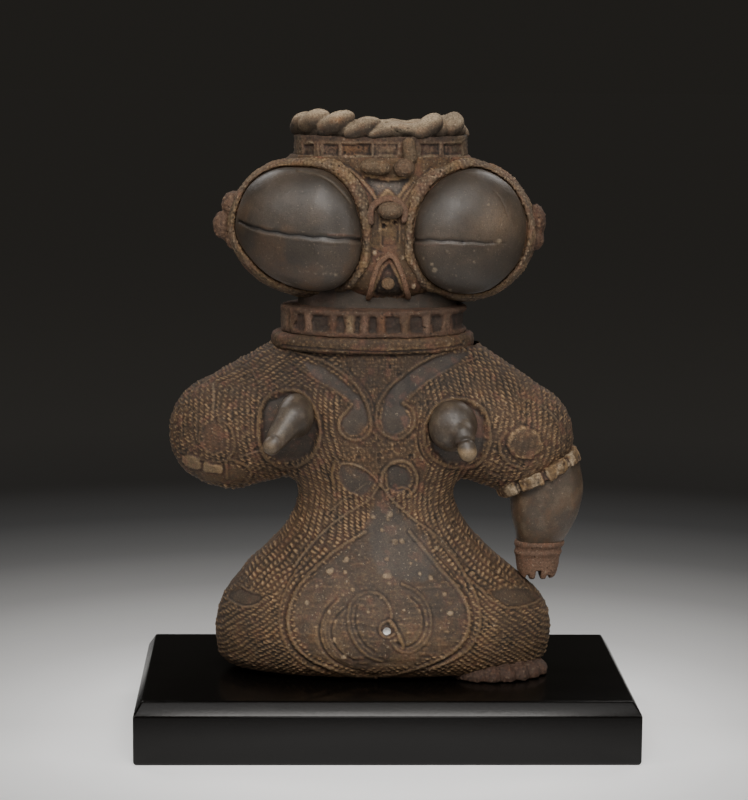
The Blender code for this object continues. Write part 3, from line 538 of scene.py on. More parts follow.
def clay(name, dark, mid, dust, slate=(0.050, 0.041, 0.033), grain=1.0, rough=0.78, dusting=0.5):
    """Low-fired clay: colours by wear, by recess (red residue, and painted shade that darkens the hollows) and by
    firing, all driven by masks modelled on the mesh and by noise.
    """
    m = bpy.data.materials.new(name)
    m.use_nodes = True
    nt = m.node_tree
    nt.nodes.clear()
    out = nt.nodes.new("ShaderNodeOutputMaterial")
    b = nt.nodes.new("ShaderNodeBsdfPrincipled")
    nt.links.new(b.outputs[0], out.inputs[0])
    co = nt.nodes.new("ShaderNodeTexCoord").outputs["Object"]
    A = nt.nodes.new("ShaderNodeAttribute")
    A.attribute_name = "wear_recess_residue_shade_slate"
    B = nt.nodes.new("ShaderNodeAttribute")
    B.attribute_name = "ochre_red_pale"
    C = nt.nodes.new("ShaderNodeAttribute")
    C.attribute_name = "tone_gloss_orange"
    sa, sb, sc = (nt.nodes.new("ShaderNodeSeparateColor") for _ in range(3))
    for x, s in ((A, sa), (B, sb), (C, sc)):
        nt.links.new(x.outputs["Color"], s.inputs[0])
    wear, recess_shade_and_residue, sl = sa.outputs
    och, red, pale = sb.outputs
    tone, gloss, orange = sc.outputs
    big = noise_node(nt, co, 55, 4, 0.6, 0.4)
    midn = noise_node(nt, co, 260, 4, 0.65)
    fine = noise_node(nt, co, 1500, 3, 0.7)
    speck = noise_node(nt, co, 900, 2, 0.5)
    col = mixer(nt, mid, dark, ramp(nt, big, [(0.34, g3(0.65)), (0.5, g3(0.25)), (0.66, g3(0.0))]))
    col = mixer(nt, col, (mid[0] * 1.25, mid[1] * 0.92, mid[2] * 0.75), ramp(nt, midn, [(0.5, g3(0)), (0.7, g3(0.6))]))
    slc = mixer(nt, slate, (slate[0] * 1.6, slate[1] * 1.42, slate[2] * 1.22), ramp(nt, big, [(0.45, g3(0)), (0.7, g3(0.8))]))
    col = mixer(nt, col, slc, sl)
    dustn = ramp(nt, midn, [(0.3, g3(0.25)), (0.7, g3(1.0))])
    col = mixer(nt, col, dust, mathn(nt, "MULTIPLY", mathn(nt, "MULTIPLY", wear, dustn), dusting))
    col = mixer(nt, col, (0.22, 0.135, 0.055), mathn(nt, "MULTIPLY", och, mathn(nt, "MULTIPLY_ADD", midn, 0.9, 0.2)))
    col = mixer(nt, col, (0.20, 0.080, 0.050), mathn(nt, "MULTIPLY", red, mathn(nt, "MULTIPLY_ADD", midn, 0.9, 0.1)))
    col = mixer(nt, col, (0.25, 0.115, 0.040), mathn(nt, "MULTIPLY", orange, mathn(nt, "MULTIPLY_ADD", midn, 0.9, 0.1)))
    col = mixer(nt, col, (0.42, 0.33, 0.22), mathn(nt, "MULTIPLY", pale, mathn(nt, "MULTIPLY_ADD", fine, 1.1, 0.2), clamp=True))
    spk = ramp(nt, speck, [(0.64, g3(0)), (0.74, g3(0.6 if grain > 1 else 0.3))])
    col = mixer(nt, col, (0.34, 0.27, 0.19), mathn(nt, "MULTIPLY", spk, mathn(nt, "SUBTRACT", 1.0, recess_shade_and_residue, clamp=True)))
    dk = ramp(nt, speck, [(0.24, g3(0.7)), (0.33, g3(0))])
    col = mixer(nt, col, (dark[0] * 0.5, dark[1] * 0.5, dark[2] * 0.5), dk)
    # recess colour: near-black brown mixed with red residue; the darkening of hollows is painted shade, the red is
    # residue
    pit = mixer(nt, (dark[0] * 0.38, dark[1] * 0.34, dark[2] * 0.30), (0.075, 0.031, 0.018), ramp(nt, noise_node(nt, co, 110, 4, 0.65), [(0.45, g3(0)), (0.62, g3(0.9))]))
    col = mixer(nt, col, pit, mathn(nt, "MULTIPLY", recess_shade_and_residue, 0.97))
    shade = mathn(nt, "MULTIPLY_ADD", tone, 1.36, 0.08)
    shade = mathn(nt, "MULTIPLY", shade, mathn(nt, "MULTIPLY_ADD", fine, 1.45 * grain, 1.0 - 0.725 * grain))
    comb = nt.nodes.new("ShaderNodeCombineColor")
    for k in range(3):
        nt.links.new(shade, comb.inputs[k])
    col = mixer(nt, col, comb.outputs[0], 1.0, "MULTIPLY")
    col = mixer(nt, (0.85, 0.85, 0.83), col, C.outputs["Alpha"])
    nt.links.new(col, b.inputs["Base Color"])
    r = mathn(nt, "MULTIPLY_ADD", midn, 0.22, rough - 0.11)
    r = mathn(nt, "SUBTRACT", r, mathn(nt, "MULTIPLY", gloss, rough - 0.33), clamp=True)
    nt.links.new(r, b.inputs["Roughness"])
    b.inputs["Specular IOR Level"].default_value = 0.50
    bump = nt.nodes.new("ShaderNodeBump")
    bump.inputs["Strength"].default_value = 0.55 * grain
    bump.inputs["Distance"].default_value = 0.00035
    hgt = mathn(nt, "MULTIPLY_ADD", midn, 0.5, mathn(nt, "MULTIPLY", fine, mathn(nt, "MULTIPLY_ADD", gloss, -0.75, 1.0)))
    nt.links.new(hgt, bump.inputs["Height"])
    nt.links.new(bump.outputs[0], b.inputs["Normal"])
    return m


BROWN = clay("clay_brown", (0.029, 0.0162, 0.0075), (0.088, 0.0490, 0.0215), (0.42, 0.272, 0.138), dusting=1.0, grain=1.3)
GREYISH = clay("clay_grey", (0.050, 0.032, 0.0185), (0.155, 0.105, 0.064), (0.44, 0.34, 0.22), rough=0.85, dusting=0.9, grain=1.35)
REDDISH = clay("clay_red", (0.038, 0.0195, 0.0105), (0.110, 0.058, 0.032), (0.31, 0.20, 0.115), rough=0.82, dusting=0.8, grain=1.3)
DARK = clay("clay_burnished", (0.032, 0.0225, 0.0150), (0.074, 0.054, 0.037), (0.22, 0.175, 0.125), slate=(0.056, 0.045, 0.0355), grain=0.75, rough=0.55, dusting=0.35)


# ------------------------------------------------------------------ pieces
def piece(name, verts, quads, rel, mat, nodes, slot, wear_scale=0.22, cuts=(), smooth_n=7):
    """Displaced, masked, cut and capped, then handed to its body."""
    n = len(verts)
    h = rel.h
    hs = smooth_over(quads, n, h, smooth_n)
    wear = np.clip((h - hs) / wear_scale, 0, 1) ** 1.5
    # recess mask: depth below the smoothed surface; it darkens hollows, part red residue, part painted shade
    recess_shade_and_residue = np.clip((hs - h) / wear_scale, 0, 1)
    me = bpy.data.meshes.new(name)
    me.from_pydata((verts * MM).tolist(), [], quads.tolist())
    wear = wear * (1 - 0.72 * rel.rm)
    m = rel.m
    for nm, a, b, c in (("wear_recess_residue_shade_slate", wear, recess_shade_and_residue, m["slate"]), ("ochre_red_pale", m["ochre"], m["red"], m["pale"]),
                        ("tone_gloss_orange", rel.tone, m["gloss"], m["orange"])):
        at = me.attributes.new(nm, "FLOAT_COLOR", "POINT")
        at.data.foreach_set("color", np.clip(np.stack([a, b, c, 1 - m["chalk"]], 1), 0, 1).astype(np.float32).ravel())
    me.polygons.foreach_set("use_smooth", [True] * len(me.polygons))
    if cuts:
        bm = bmesh.new()
        bm.from_mesh(me)
        for p, nrm in cuts:
            g = bmesh.ops.bisect_plane(bm, geom=bm.verts[:] + bm.edges[:] + bm.faces[:], dist=1e-7,
                                       plane_co=Vector(p) * MM, plane_no=Vector(nrm), clear_outer=True)
            edges = [e for e in g["geom_cut"] if isinstance(e, bmesh.types.BMEdge) and e.is_valid and len(e.link_faces) == 1]
            if edges:
                bmesh.ops.triangle_fill(bm, edges=edges, use_beauty=False, use_dissolve=False)
        bmesh.ops.recalc_face_normals(bm, faces=bm.faces[:])
        bm.to_mesh(me)
        bm.free()
    me.materials.append(mat)
    ob = bpy.data.objects.new(name, me)
    bpy.context.scene.collection.objects.link(ob)
    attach(ob, "figure")
    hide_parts(*nodes)
    return ob


def pick(verts, quads, rel, keep):
    """The part of a mesh whose faces touch the kept vertices."""
    fm = keep[quads].any(1)
    q = quads[fm]
    ids, inv = np.unique(q.ravel(), return_inverse=True)
    r = object.__new__(Relief)
    r.h, r.tone, r.rm, r.m = rel.h[ids], rel.tone[ids], rel.rm[ids], {k: v[ids] for k, v in rel.m.items()}
    return verts[ids], inv.reshape(q.shape), r


# ------------------------------------------------------------------ the body's wall, one continuous skin
def body_relief(P, N):
    R = Relief(P)
    U, V = R.U, R.V
    x, z = P[:, 0], P[:, 2]
    zs = TRUNK[:, 0]
    zc = np.clip(z, zs[0], zs[-1])
    xl, xr = spline(zc, zs, TRUNK[:, 1]), spline(zc, zs, TRUNK[:, 2])
    e = 0.5
    sl = (spline(zc + e, zs, TRUNK[:, 1]) - spline(zc - e, zs, TRUNK[:, 1])) / (2 * e)
    sr = (spline(zc + e, zs, TRUNK[:, 2]) - spline(zc - e, zs, TRUNK[:, 2])) / (2 * e)
    warp = (fbm(P, 9.0, 3, 11) - 0.5) * 2.2
    warp2 = (fbm(P, 7.0, 3, 23) - 0.5) * 2.4
    # rows that follow the waist and hips
    dl = (x - xl) / np.sqrt(1 + sl ** 2)
    dr = (xr - x) / np.sqrt(1 + sr ** 2)
    side = np.where(x < (xl + xr) / 2, dl, dr)
    waist = beads(side + warp, z * 1.15 + warp2, 2.4, 1.8)
    # slanting rows on the hips
    s = np.where(x < 0, 1.0, -1.0)
    hip = beads(z * 0.80 - s * x * 0.60 + warp * 1.2, s * x * 0.8 + z * 0.6 + warp2, 2.05, 1.7)
    # rows that follow the arms
    ra, la = arm_rows(P, ARM_R)
    rb, lb = arm_rows(P, ARM_L)
    armr = beads(-0.545 * x + 0.838 * z + 1.5 * warp, 0.838 * x + 0.545 * z + warp2, 2.05, 1.7)
    arml = beads(rb + warp, lb + warp2, 2.1, 1.7)
    shoulder = beads(x * 0.95 + 0.25 * z + warp * 1.3, z + warp2, 2.1, 1.7)
    rough = 1 - np.clip(cells(P, 1.35, 4)[0] * 1.25, 0, 1)
    grit = cells(P, 2.3, 14)[1]

    def step(v, a, b):
        t = np.clip((v - a) / (b - a), 0, 1)
        return t * t * (3 - 2 * t)
    hipw = step(-z, -72, -60)
    tex = waist * (1 - hipw) + hip * hipw
    inarm_r = step(-limb(P, *ARM_R) - 0.0, -3.0, 4.0) * step(-x, 36, 45) * step(z, 100, 110)
    inarm_l = step(-limb(P, *ARM_L) - 0.0, -3.0, 4.0) * step(x, 36, 45) * step(z, 98, 106)
    sh_r = step(z, 150, 158) * step(-x, 10, 20)
    inarm_r = np.maximum(inarm_r, sh_r)
    tex = tex * (1 - inarm_r) + armr * inarm_r
    mixr = step(fbm(P, 6.0, 2, 77), 0.35, 0.62)
    armx = (arml * mixr + rough * 0.9 * (1 - mixr))
    tex = tex * (1 - inarm_l) + armx * inarm_l
    sh_l = step(z, 140, 150) * step(x, 22, 27) * (1 - step(x, 52, 60))
    tex = tex * (1 - sh_l) + shoulder * sh_l
    mid = step(-np.abs(U - 383) + 12 * (noise(P, 5, 8) - 0.5), -50, -34) * step(V, 350, 356) * (1 - step(V, 470, 500))
    tex = tex * (1 - mid) + rough * mid
    wear = 0.55 + 0.75 * fbm(P, 13.0, 3, 41)
    amp = 0.80 * np.clip(wear, 0.5, 1.2) * (0.7 + 0.6 * noise(P, 2.6, 42))
    amp = amp * (1 - 0.5 * mid)
    low = step(-z, -36, -29)
    amp *= 1 - 0.6 * low

    R.tone += 0.10 * (fbm(P, 18, 3, 61) - 0.5) * 2 + 0.34 * (fbm(P, 4.5, 3, 62) - 0.5)
    # chest scrolls
    R.patch([(303, 361), (322, 367), (340, 379), (354, 391), (363, 404), (368, 420), (363, 431), (353, 435), (345, 431), (342, 421), (349, 412), (353, 405), (346, 396), (331, 387), (314, 376)], 0.45, 1.6, slate=0.75, gloss=0.3)
    R.patch([(468, 353), (440, 356), (420, 365), (403, 377), (391, 389), (384, 402), (381, 417), (385, 430), (394, 434), (404, 430), (410, 419), (406, 410), (401, 403), (412, 393), (430, 379), (452, 367)], 0.45, 1.6, slate=0.75, gloss=0.3)
    R.ridge([(288, 350), (310, 356), (330, 365), (346, 376), (358, 388), (366, 402), (370, 416), (371, 428), (365, 437), (355, 440), (345, 437), (339, 428), (340, 419), (347, 411), (352, 404)], 2.76, 0.68, pale=0.10)
    R.ridge([(292, 362), (313, 378), (330, 388), (343, 397), (351, 404)], 2.02, 0.50)
    R.ridge([(474, 344), (447, 351), (425, 361), (408, 372), (394, 383), (384, 394), (378, 406), (376, 420), (381, 432), (391, 438), (401, 438), (411, 431), (415, 420), (412, 409), (403, 403)], 2.76, 0.68, pale=0.10)
    R.ridge([(478, 357), (455, 366), (437, 375), (421, 387), (407, 401)], 2.02, 0.50)
    R.groove([(350, 372), (364, 387), (373, 402), (376, 420)], 1.3, 0.35)
    R.paint(np.arange(len(P)), np.exp(-((U - 365) ** 2 / 60 + (V - 430) ** 2 / 30)), orange=0.7)
    # breast rings
    R.patch([(288, 394), (272, 398), (263, 410), (261, 430), (264, 450), (280, 462), (300, 460), (313, 448), (316, 430), (312, 410), (303, 399)], 1.3, 2.6, front=True, slate=0.6, gloss=0.25, tone=-0.12)
    R.ridge([(288, 390), (271, 394), (261, 408), (258, 428), (260, 446), (268, 460), (284, 468), (302, 464), (315, 452), (320, 436), (318, 418), (312, 403), (302, 393)], 3.13, 0.90, closed=True, front=True)
    R.patch([(455, 402), (440, 408), (431, 422), (430, 440), (437, 456), (455, 464), (474, 462), (484, 448), (486, 430), (481, 413), (470, 404)], 1.1, 2.6, front=True, slate=0.85, gloss=0.5, tone=-0.10)
    R.ridge([(455, 399), (438, 404), (428, 418), (424, 436), (428, 452), (438, 462), (455, 468), (475, 466), (487, 452), (490, 432), (485, 412), (472, 401)], 2.94, 0.86, closed=True, front=True)
    R.groove([(420, 424), (418, 440), (423, 456), (434, 467)], 1.2, 0.5, front=True)
    # waist commas
    R.patch([(340, 466), (352, 467), (364, 472), (374, 481), (369, 491), (360, 496), (349, 491), (341, 483)], 0.5, 1.6, slate=0.8, gloss=0.3)
    R.patch([(390, 468), (399, 466), (408, 470), (411, 479), (407, 488), (398, 491), (390, 487), (387, 478)], 0.6, 1.5, slate=0.85, gloss=0.35)
    R.ridge([(335, 461), (332, 474), (335, 487)], 2.76, 0.79, taper=True, ochre=0.95)
    R.ridge([(341, 464), (352, 464), (364, 469), (374, 477), (380, 485)], 1.84, 0.43, pale=0.35)
    R.ridge([(380, 484), (371, 498), (356, 508), (340, 518), (322, 533), (307, 549), (294, 566)], 2.21, 0.54, pale=0.25)
    R.ridge([(366, 484), (352, 494), (340, 503), (326, 514)], 1.66, 0.36, pale=0.2)
    R.ridge([(381, 486), (383, 473), (391, 464), (402, 461), (412, 466), (417, 477), (415, 489), (408, 497)], 2.94, 0.76, ochre=0.45, pale=0.15)
    R.ridge([(397, 489), (404, 488), (410, 491), (412, 498)], 2.12, 0.58, orange=1.0)
    R.ridge([(382, 486), (390, 497), (402, 509), (416, 521), (430, 530), (442, 540), (456, 556)], 2.21, 0.54, pale=0.2)
    R.ridge([(411, 497), (412, 508), (408, 517)], 1.84, 0.36, orange=0.4)
    # belly panel
    R.patch([(379, 491), (392, 505), (410, 521), (424, 535), (432, 554), (446, 571), (459, 590), (466, 611), (464, 630), (454, 646), (436, 657), (410, 665), (380, 669), (350, 668), (322, 660), (303, 645), (295, 626), (295, 608), (303, 590), (318, 571), (338, 554), (354, 542), (366, 522), (372, 506)], 0.30, 2.4, texture=0.06, stipple=1.0, slate=0.40, gloss=0.15)
    R.patch([(374, 506), (392, 506), (410, 522), (425, 540), (436, 560), (430, 578), (405, 583), (385, 580), (372, 560), (366, 535)], 0.0, 7.0, texture=1.0, stipple=-1.0, slate=0.8, gloss=0.3)
    R.ridge([(365, 532), (345, 544), (330, 555), (317, 566), (305, 578), (296, 592), (290, 607), (288, 622), (291, 637), (299, 650), (313, 661), (332, 669), (352, 675), (376, 678)], 2.94, 0.76, ochre=0.28, pale=0.12)
    R.ridge([(410, 532), (428, 553), (441, 569), (453, 582), (463, 597), (469, 613), (468, 630), (460, 645), (445, 657), (425, 666), (402, 673), (376, 677)], 2.94, 0.76, ochre=0.30, pale=0.10)
    R.ridge([(309, 556), (294, 574), (284, 594), (279, 613), (281, 633), (290, 652), (305, 665), (326, 674)], 2.02, 0.47)
    R.ridge([(428, 530), (447, 549), (463, 571), (475, 593), (480, 612), (479, 630), (470, 648), (451, 661), (430, 670)], 2.76, 0.68, ochre=0.25)
    R.groove([(300, 576), (289, 596), (284, 614), (285, 633), (294, 650), (308, 662), (328, 671)], 1.5, 0.55)
    R.groove([(436, 554), (452, 572), (466, 592), (474, 612), (473, 630), (465, 646), (448, 659), (428, 668)], 1.5, 0.55)
    R.groove([(336, 599), (325, 611), (319, 627), (321, 644), (330, 658), (345, 667), (364, 672)], 1.4, 0.55)
    R.ridge([(341, 604), (330, 614), (325, 628), (327, 643), (335, 655), (349, 664), (366, 668)], 1.84, 0.32)
    R.groove([(347, 606), (336, 617), (331, 630), (334, 644), (342, 654), (354, 661)], 1.2, 0.4)
    R.ridge([(349, 606), (357, 596), (368, 592), (379, 594), (387, 602), (391, 612), (391, 620)], 2.58, 0.54)
    R.ridge([(350, 604), (348, 619), (351, 634), (358, 647), (369, 657), (382, 662)], 2.58, 0.54, ochre=0.4)
    R.groove([(357, 606), (355, 620), (358, 634), (365, 645), (374, 652)], 1.3, 0.35)
    R.ridge([(402, 584), (415, 590), (426, 602), (431, 618), (430, 634), (422, 646), (410, 653), (399, 651), (393, 645)], 2.39, 0.58)
    R.groove([(411, 597), (420, 606), (424, 619), (423, 632), (416, 643), (405, 648), (397, 643)], 1.3, 0.5)
    R.ridge([(389, 621), (396, 630), (401, 640), (403, 648)], 3.13, 0.83, front=True, ochre=1.0)
    R.ridge([(388, 621), (381, 625), (380, 632), (385, 637), (392, 636), (396, 630), (393, 623)], 2.39, 0.79, closed=True, front=True, red=0.25, ochre=0.35)
    for u, v, r in ((390, 515, 3.2), (388, 520, 2.6), (382, 530, 2.8), (373, 517, 2.2), (395, 542, 4.0), (402, 541, 3.6), (387, 559, 3.6), (411, 563, 2.4), (387, 576, 4.2), (389, 583, 3.6),
                    (431, 577, 3.2), (445, 594, 3.2), (451, 613, 3.0), (448, 632, 2.6), (420, 574, 2.0), (346, 560, 3.0), (353, 590, 2.6), (343, 595, 2.4), (317, 586, 2.4), (331, 571, 3.0),
                    (345, 572, 2.4), (307, 603, 2.8), (329, 612, 2.0), (335, 621, 2.4), (334, 640, 2.6), (345, 657, 2.6), (368, 612, 2.2), (436, 548, 2.4), (381, 598, 2.0), (404, 610, 2.0), (416, 560, 2.0)):
        k = 0.5 + 0.5 * math.sin(u * 12.9 + v * 78.2)
        R.dot(u, v, r * (0.70 + 0.35 * k), 0.25 + 0.15 * k, pale=0.10 + 0.50 * k, ochre=0.5)
    R.paint(np.flatnonzero(R.front), np.exp(-((U - 383) ** 2 + (V - 633) ** 2) / 30)[R.front], red=0.35)
    # inside the navel
    nav = R.front & (np.hypot(x - NAVEL[0], z - NAVEL[1]) < 1.75) & (P[:, 1] > -38.4)
    R.m["chalk"][nav] = 1.0
    # hip crescents
    R.patch([(228, 596), (238, 588), (250, 590), (261, 596), (256, 603), (244, 605), (233, 603)], 0.5, 1.6, slate=0.5)
    R.ridge([(226, 597), (236, 604), (249, 607), (262, 602)], 2.12, 0.54, taper=True, pale=0.12)
    R.ridge([(239, 584), (249, 591), (262, 594)], 1.84, 0.40, taper=True, pale=0.12)
    R.patch([(492, 592), (512, 588), (532, 590), (540, 597), (528, 603), (508, 604)], 0.5, 1.8, slate=0.5)
    R.ridge([(480, 588), (492, 600), (506, 607), (521, 607), (534, 603), (543, 597)], 2.21, 0.58, taper=True, pale=0.10)
    R.ridge([(465, 574), (480, 588), (492, 594)], 2.21, 0.43, taper=True, orange=0.2)
    # viewer's left arm
    R.ridge([(234, 366), (246, 367), (254, 374), (258, 384)], 2.02, 0.43, taper=True, pale=0.1)
    R.ridge([(213, 384), (214, 398), (213, 411)], 2.39, 0.50, taper=True, pale=0.45)
    R.ridge([(218, 419), (228, 425), (234, 437), (234, 450), (227, 461)], 2.39, 0.61)
    R.ridge([(203, 424), (199, 436), (203, 448), (212, 454), (222, 452)], 2.02, 0.40)
    R.patch([(206, 424), (218, 424), (226, 434), (226, 446), (216, 452), (205, 446), (202, 434)], 0.3, 2.0, texture=0.35, red=0.25)
    R.ridge([(180, 451), (197, 458), (214, 462), (232, 460)], 2.02, 0.47)
    R.ridge([(228, 458), (239, 463), (249, 468), (251, 476), (244, 483)], 2.58, 0.72, ochre=0.25)
    R.ridge([(226, 462), (227, 478)], 2.58, 0.58, ochre=0.3)
    R.ridge([(240, 457), (252, 453), (262, 451)], 1.66, 0.43, pale=0.3, red=0.4)
    R.patch([(184, 458), (200, 462), (222, 464), (240, 468), (246, 478), (225, 484), (200, 478)], 0.2, 2.0, texture=0.2, ochre=0.2)
    R.patch([(183, 455), (192, 456), (200, 460), (201, 468), (192, 468), (184, 463)], -0.9, 1.5, texture=0.3, pale=0.16, ochre=0.8)
    R.patch([(204, 462), (213, 464), (222, 466), (222, 473), (212, 473), (204, 470)], -0.9, 1.5, texture=0.3, pale=0.20, ochre=0.8)
    # viewer's right arm
    R.patch([(510, 434), (522, 428), (536, 432), (542, 444), (536, 456), (522, 459), (511, 452), (507, 443)], -1.0, 2.4, texture=0.35)
    R.ridge([(507, 432), (500, 441), (501, 453), (509, 463), (521, 469)], 2.76, 0.68, slate=0.2)
    R.ridge([(513, 437), (509, 446), (514, 456), (522, 462)], 1.84, 0.43)
    R.ridge([(541, 405), (551, 413), (560, 424)], 1.84, 0.36, taper=True, pale=0.2)

    # colour over the figure: random slate, red, orange and ochre stains, and tone changes by position, several of them
    # painted light and shade
    R.m["slate"] = np.maximum(R.m["slate"], 0.25 * step(fbm(P, 22, 3, 91), 0.5, 0.7))
    # darker down the middle of the upper front
    R.tone -= 0.08 * step(-np.abs(U - 380), -60, -10) * (1 - step(V, 430, 470))
    # painted light: the viewer's right of the upper body lighter
    R.tone += 0.07 * step(U, 440, 480) * (1 - step(V, 470, 500))
    R.m["red"] = np.maximum(R.m["red"], 0.75 * step(fbm(P, 3.6, 3, 55), 0.58, 0.72) * (0.4 + 0.6 * step(z, 90, 110)))
    R.m["orange"] = np.maximum(R.m["orange"], 0.35 * step(fbm(P, 8, 3, 66), 0.66, 0.8))
    R.m["ochre"] = np.maximum(R.m["ochre"], 0.30 * step(-z, -70, -45) * step(fbm(P, 10, 3, 67), 0.35, 0.6))
    # painted light: the middle of the lower belly lighter
    R.tone += 0.06 * step(-z, -66, -44) * step(-np.abs(U - 380), -95, -70)
    # painted shade: the lower body darker at its sides
    R.tone -= 0.10 * step(np.abs(U - 380), 105, 140) * step(-z, -75, -60)
    # painted shade: darker above the waist line, and darker still over the shoulders
    R.tone -= 0.05 * step(z, 92, 112) + 0.15 * step(z, 144, 156)
    t = R.tex * amp
    R.h += t * (tex - 0.42)
    lines = fbm(P * np.array((0.35, 0.35, 1.7)) + 3.0 * fbm(P, 20.0, 2, 34)[:, None], 2.4, 3, 33)
    R.h += R.stip * (0.10 * (rough - 0.45) + 0.50 * (lines - 0.5) + 0.30 * (fbm(P, 1.9, 2, 35) - 0.5))
    R.h += 0.42 * (fbm(P, 2.0, 3, 31) - 0.5) * (0.3 + 0.7 * R.tex) - 0.28 * step(grit, 0.86, 0.95) * R.tex + 0.5 * (fbm(P, 24, 2, 32) - 0.5)
    # keep hidden and seated faces plain
    hidden = (np.abs(N[:, 2]) > 0.9) & ((z < SEAT_Z + 1.0) | (z > 168)) | (well(P) < 0.6)
    R.h[hidden] = 0
    return R


def build_body():
    V, Q = nets(body_field, (-99, -44, 25), (88, 41, 176), 0.58)
    N = normals_of(core, V)
    R = body_relief(V, N)
    D = V + N * R.h[:, None]
    D[:, 2] = np.maximum(D[:, 2], SEAT_Z)
    up = (0, 0, 1)
    dn = (0, 0, -1)
    rt, lf = (1, 0, 0), (-1, 0, 0)
    sets = {
        "right_leg": (((LEG_R_X, 0, 0), rt), ((0, 0, WAIST_Z), up)),
        "left_leg": (((LEG_L_X, 0, 0), lf), ((0, 0, WAIST_Z), up)),
        "belly_panel": (((LEG_R_X, 0, 0), lf), ((LEG_L_X, 0, 0), rt), ((0, 0, WAIST_Z), up), ((0, MID, 0), (0, 1, 0))),
        "rump_panel": (((LEG_R_X, 0, 0), lf), ((LEG_L_X, 0, 0), rt), ((0, 0, WAIST_Z), up), ((0, MID, 0), (0, -1, 0))),
        "torso_shell": (((ARM_R_X, 0, 0), lf), ((ARM_L_X, 0, 0), rt), ((0, 0, WAIST_Z), dn), ((0, 0, SHOULDER_Z + 1.2), up)),
        "right_upper_arm": (((ARM_R_X, 0, 0), rt), ((0, 0, WAIST_Z), dn)),
        "left_upper_arm": (((ARM_L_X, 0, 0), lf), ((0, 0, WAIST_Z), dn)),
    }
    extra = {"belly_panel": ("navel_ring",), "torso_shell": ("right_breast_ring", "left_breast_ring"), "right_upper_arm": ("right_armband",)}
    slots = {"belly_panel": "clay_burnished"}
    for name, cuts in sets.items():
        keep = np.ones(len(D), bool)
        for p, nrm in cuts:
            k = int(np.argmax(np.abs(nrm)))
            keep &= (D[:, k] - p[k]) * nrm[k] < 0.8
        v, q, r = pick(D, Q, R, keep)
        piece(name + "_clay", v, q, r, BROWN, (name,) + extra.get(name, ()), slots.get(name, "clay_brown"), cuts=cuts)


build_body()

# ------------------------------------------------------------------ separate lumps
def spot(u, v, y):
    """The point on the plane y (mm) that the drawing coordinates name."""
    d = FWD + RIGHT * (u - 374) / FOCAL + UP * (400 - v) / FOCAL
    p = CAM + d * (y - CAM[1]) / d[1]
    return p


def largest(V, Q):
    lab = np.arange(len(V))
    for _ in range(60):
        m = lab[Q].min(1)
        new = lab.copy()
        for k in range(4):
            np.minimum.at(new, Q[:, k], m)
        new = new[new]
        new = new[new]
        if (new == lab).all():
            break
        lab = new
    vals, cnt = np.unique(lab[Q[:, 0]], return_counts=True)
    keep = vals[np.argmax(cnt)]
    q = Q[lab[Q[:, 0]] == keep]
    ids, inv = np.unique(q.ravel(), return_inverse=True)
    return V[ids], inv.reshape(q.shape)


def lump(name, field, lo, hi, h, mat, nodes, slot, dress=None, cuts=(), wear_scale=0.22, smooth_n=6, rub=0):
    V, Q = nets(field, lo, hi, h)
    V, Q = largest(V, Q)
    if rub:
        V = relax(Q, V, rub)
    N = normals_of(field, V)
    R = Relief(V)
    R.tex *= 0
    if dress:
        dress(R, V, N)
    D = V + N * R.h[:, None]
    return piece(name, D, Q, R, mat, nodes, slot, wear_scale=wear_scale, cuts=cuts, smooth_n=smooth_n)


def step(v, a, b):
    t = np.clip((v - a) / (b - a), 0, 1)
    return t * t * (3 - 2 * t)


def gritty(R, P, amp=0.35, size=1.5, seed=3):
    """Coarse clay pressed with a stick: pits and grains."""
    c, val = cells(P, size, seed)
    R.h += amp * (0.55 - c) * (0.5 + val)
    pit = step(-cells(P, size * 1.6, seed + 40)[0], -0.22, -0.10) * step(noise(P, 6, seed + 5), 0.45, 0.6)
    R.h -= amp * 1.6 * pit
    R.h += 0.6 * amp * (fbm(P, 3.0, 3, seed + 2) - 0.5)


# ------------------------------------------------------------------ head
def band_coord(P):
    return (P[..., 0] - 66.0) * -0.435 + (P[..., 2] - 114.0) * 0.900


FOREARM = np.array([
    (66, 67.0, 7.5, 6.5), (72, 67.5, 8.8, 7.4), (79, 67.7, 9.6, 8.0), (83, 68.3, 9.9, 8.6), (87, 69.2, 11.4, 10.4),
    (93, 70.0, 13.8, 12.4), (100, 70.6, 15.4, 13.8), (108, 70.8, 16.3, 14.6), (116, 70.0, 15.8, 14.4), (126, 68.5, 14.5, 13.5)], float)


def forearm(P):
    x, y, z = P[..., 0], P[..., 1], P[..., 2]
    zs = FOREARM[:, 0]
    zc = np.clip(z, zs[0], zs[-1])
    cx, a, b = (spline(zc, zs, FOREARM[:, k]) for k in (1, 2, 3))
    return smax(ellipse2(x, y, cx, 1.0, a, b, 2.2), 66.5 - z, 3.0)


def neck_bore(P):
    return ellipse2(P[..., 0], P[..., 1], -4.0, MID, 23.0, 12.0)


def head(P):
    d = smin(ellipsoid(P, (-33, 4, 221.3), (35.5, 27, 30.5)), ellipsoid(P, (30.3, 4, 219.6), (35.0, 27, 31.0)), 6.0)
    d = smin(d, ellipsoid(P, (-1.5, 4, 220), (40, 28, 32)), 6.0)
    col = smax(ellipse2(P[..., 0], P[..., 1], -3.1, 3.0, 38.0, 23.5, 2.2), 225.0 - P[..., 2], 4.0)
    d = smin(d, ellipsoid(P, (-0.5, -8.0, 203.0), (22.0, 16.5, 13.0)), 6.0)
    return smin(d, col, 5.0)


def head_cavity(P):
    x, y, z = P[..., 0], P[..., 1], P[..., 2]
    d = ellipsoid(P, (-2, 4, 221), (54, 19.0, 21.5))
    up = np.maximum(ellipse2(x, y, -3.1, 3.0, 31.0, 16.5, 2.2), 222.0 - z)
    down = np.maximum(neck_bore(P), z - 222.0)
    return smin(smin(d, up, 4.0), down, 4.0)


EYES = {"right": (-38.7, 221.5, 26.8, -23.5, -9.5, 13.0), "left": (35.0, 220.8, 24.6, -23.5, -9.5, 13.0)}
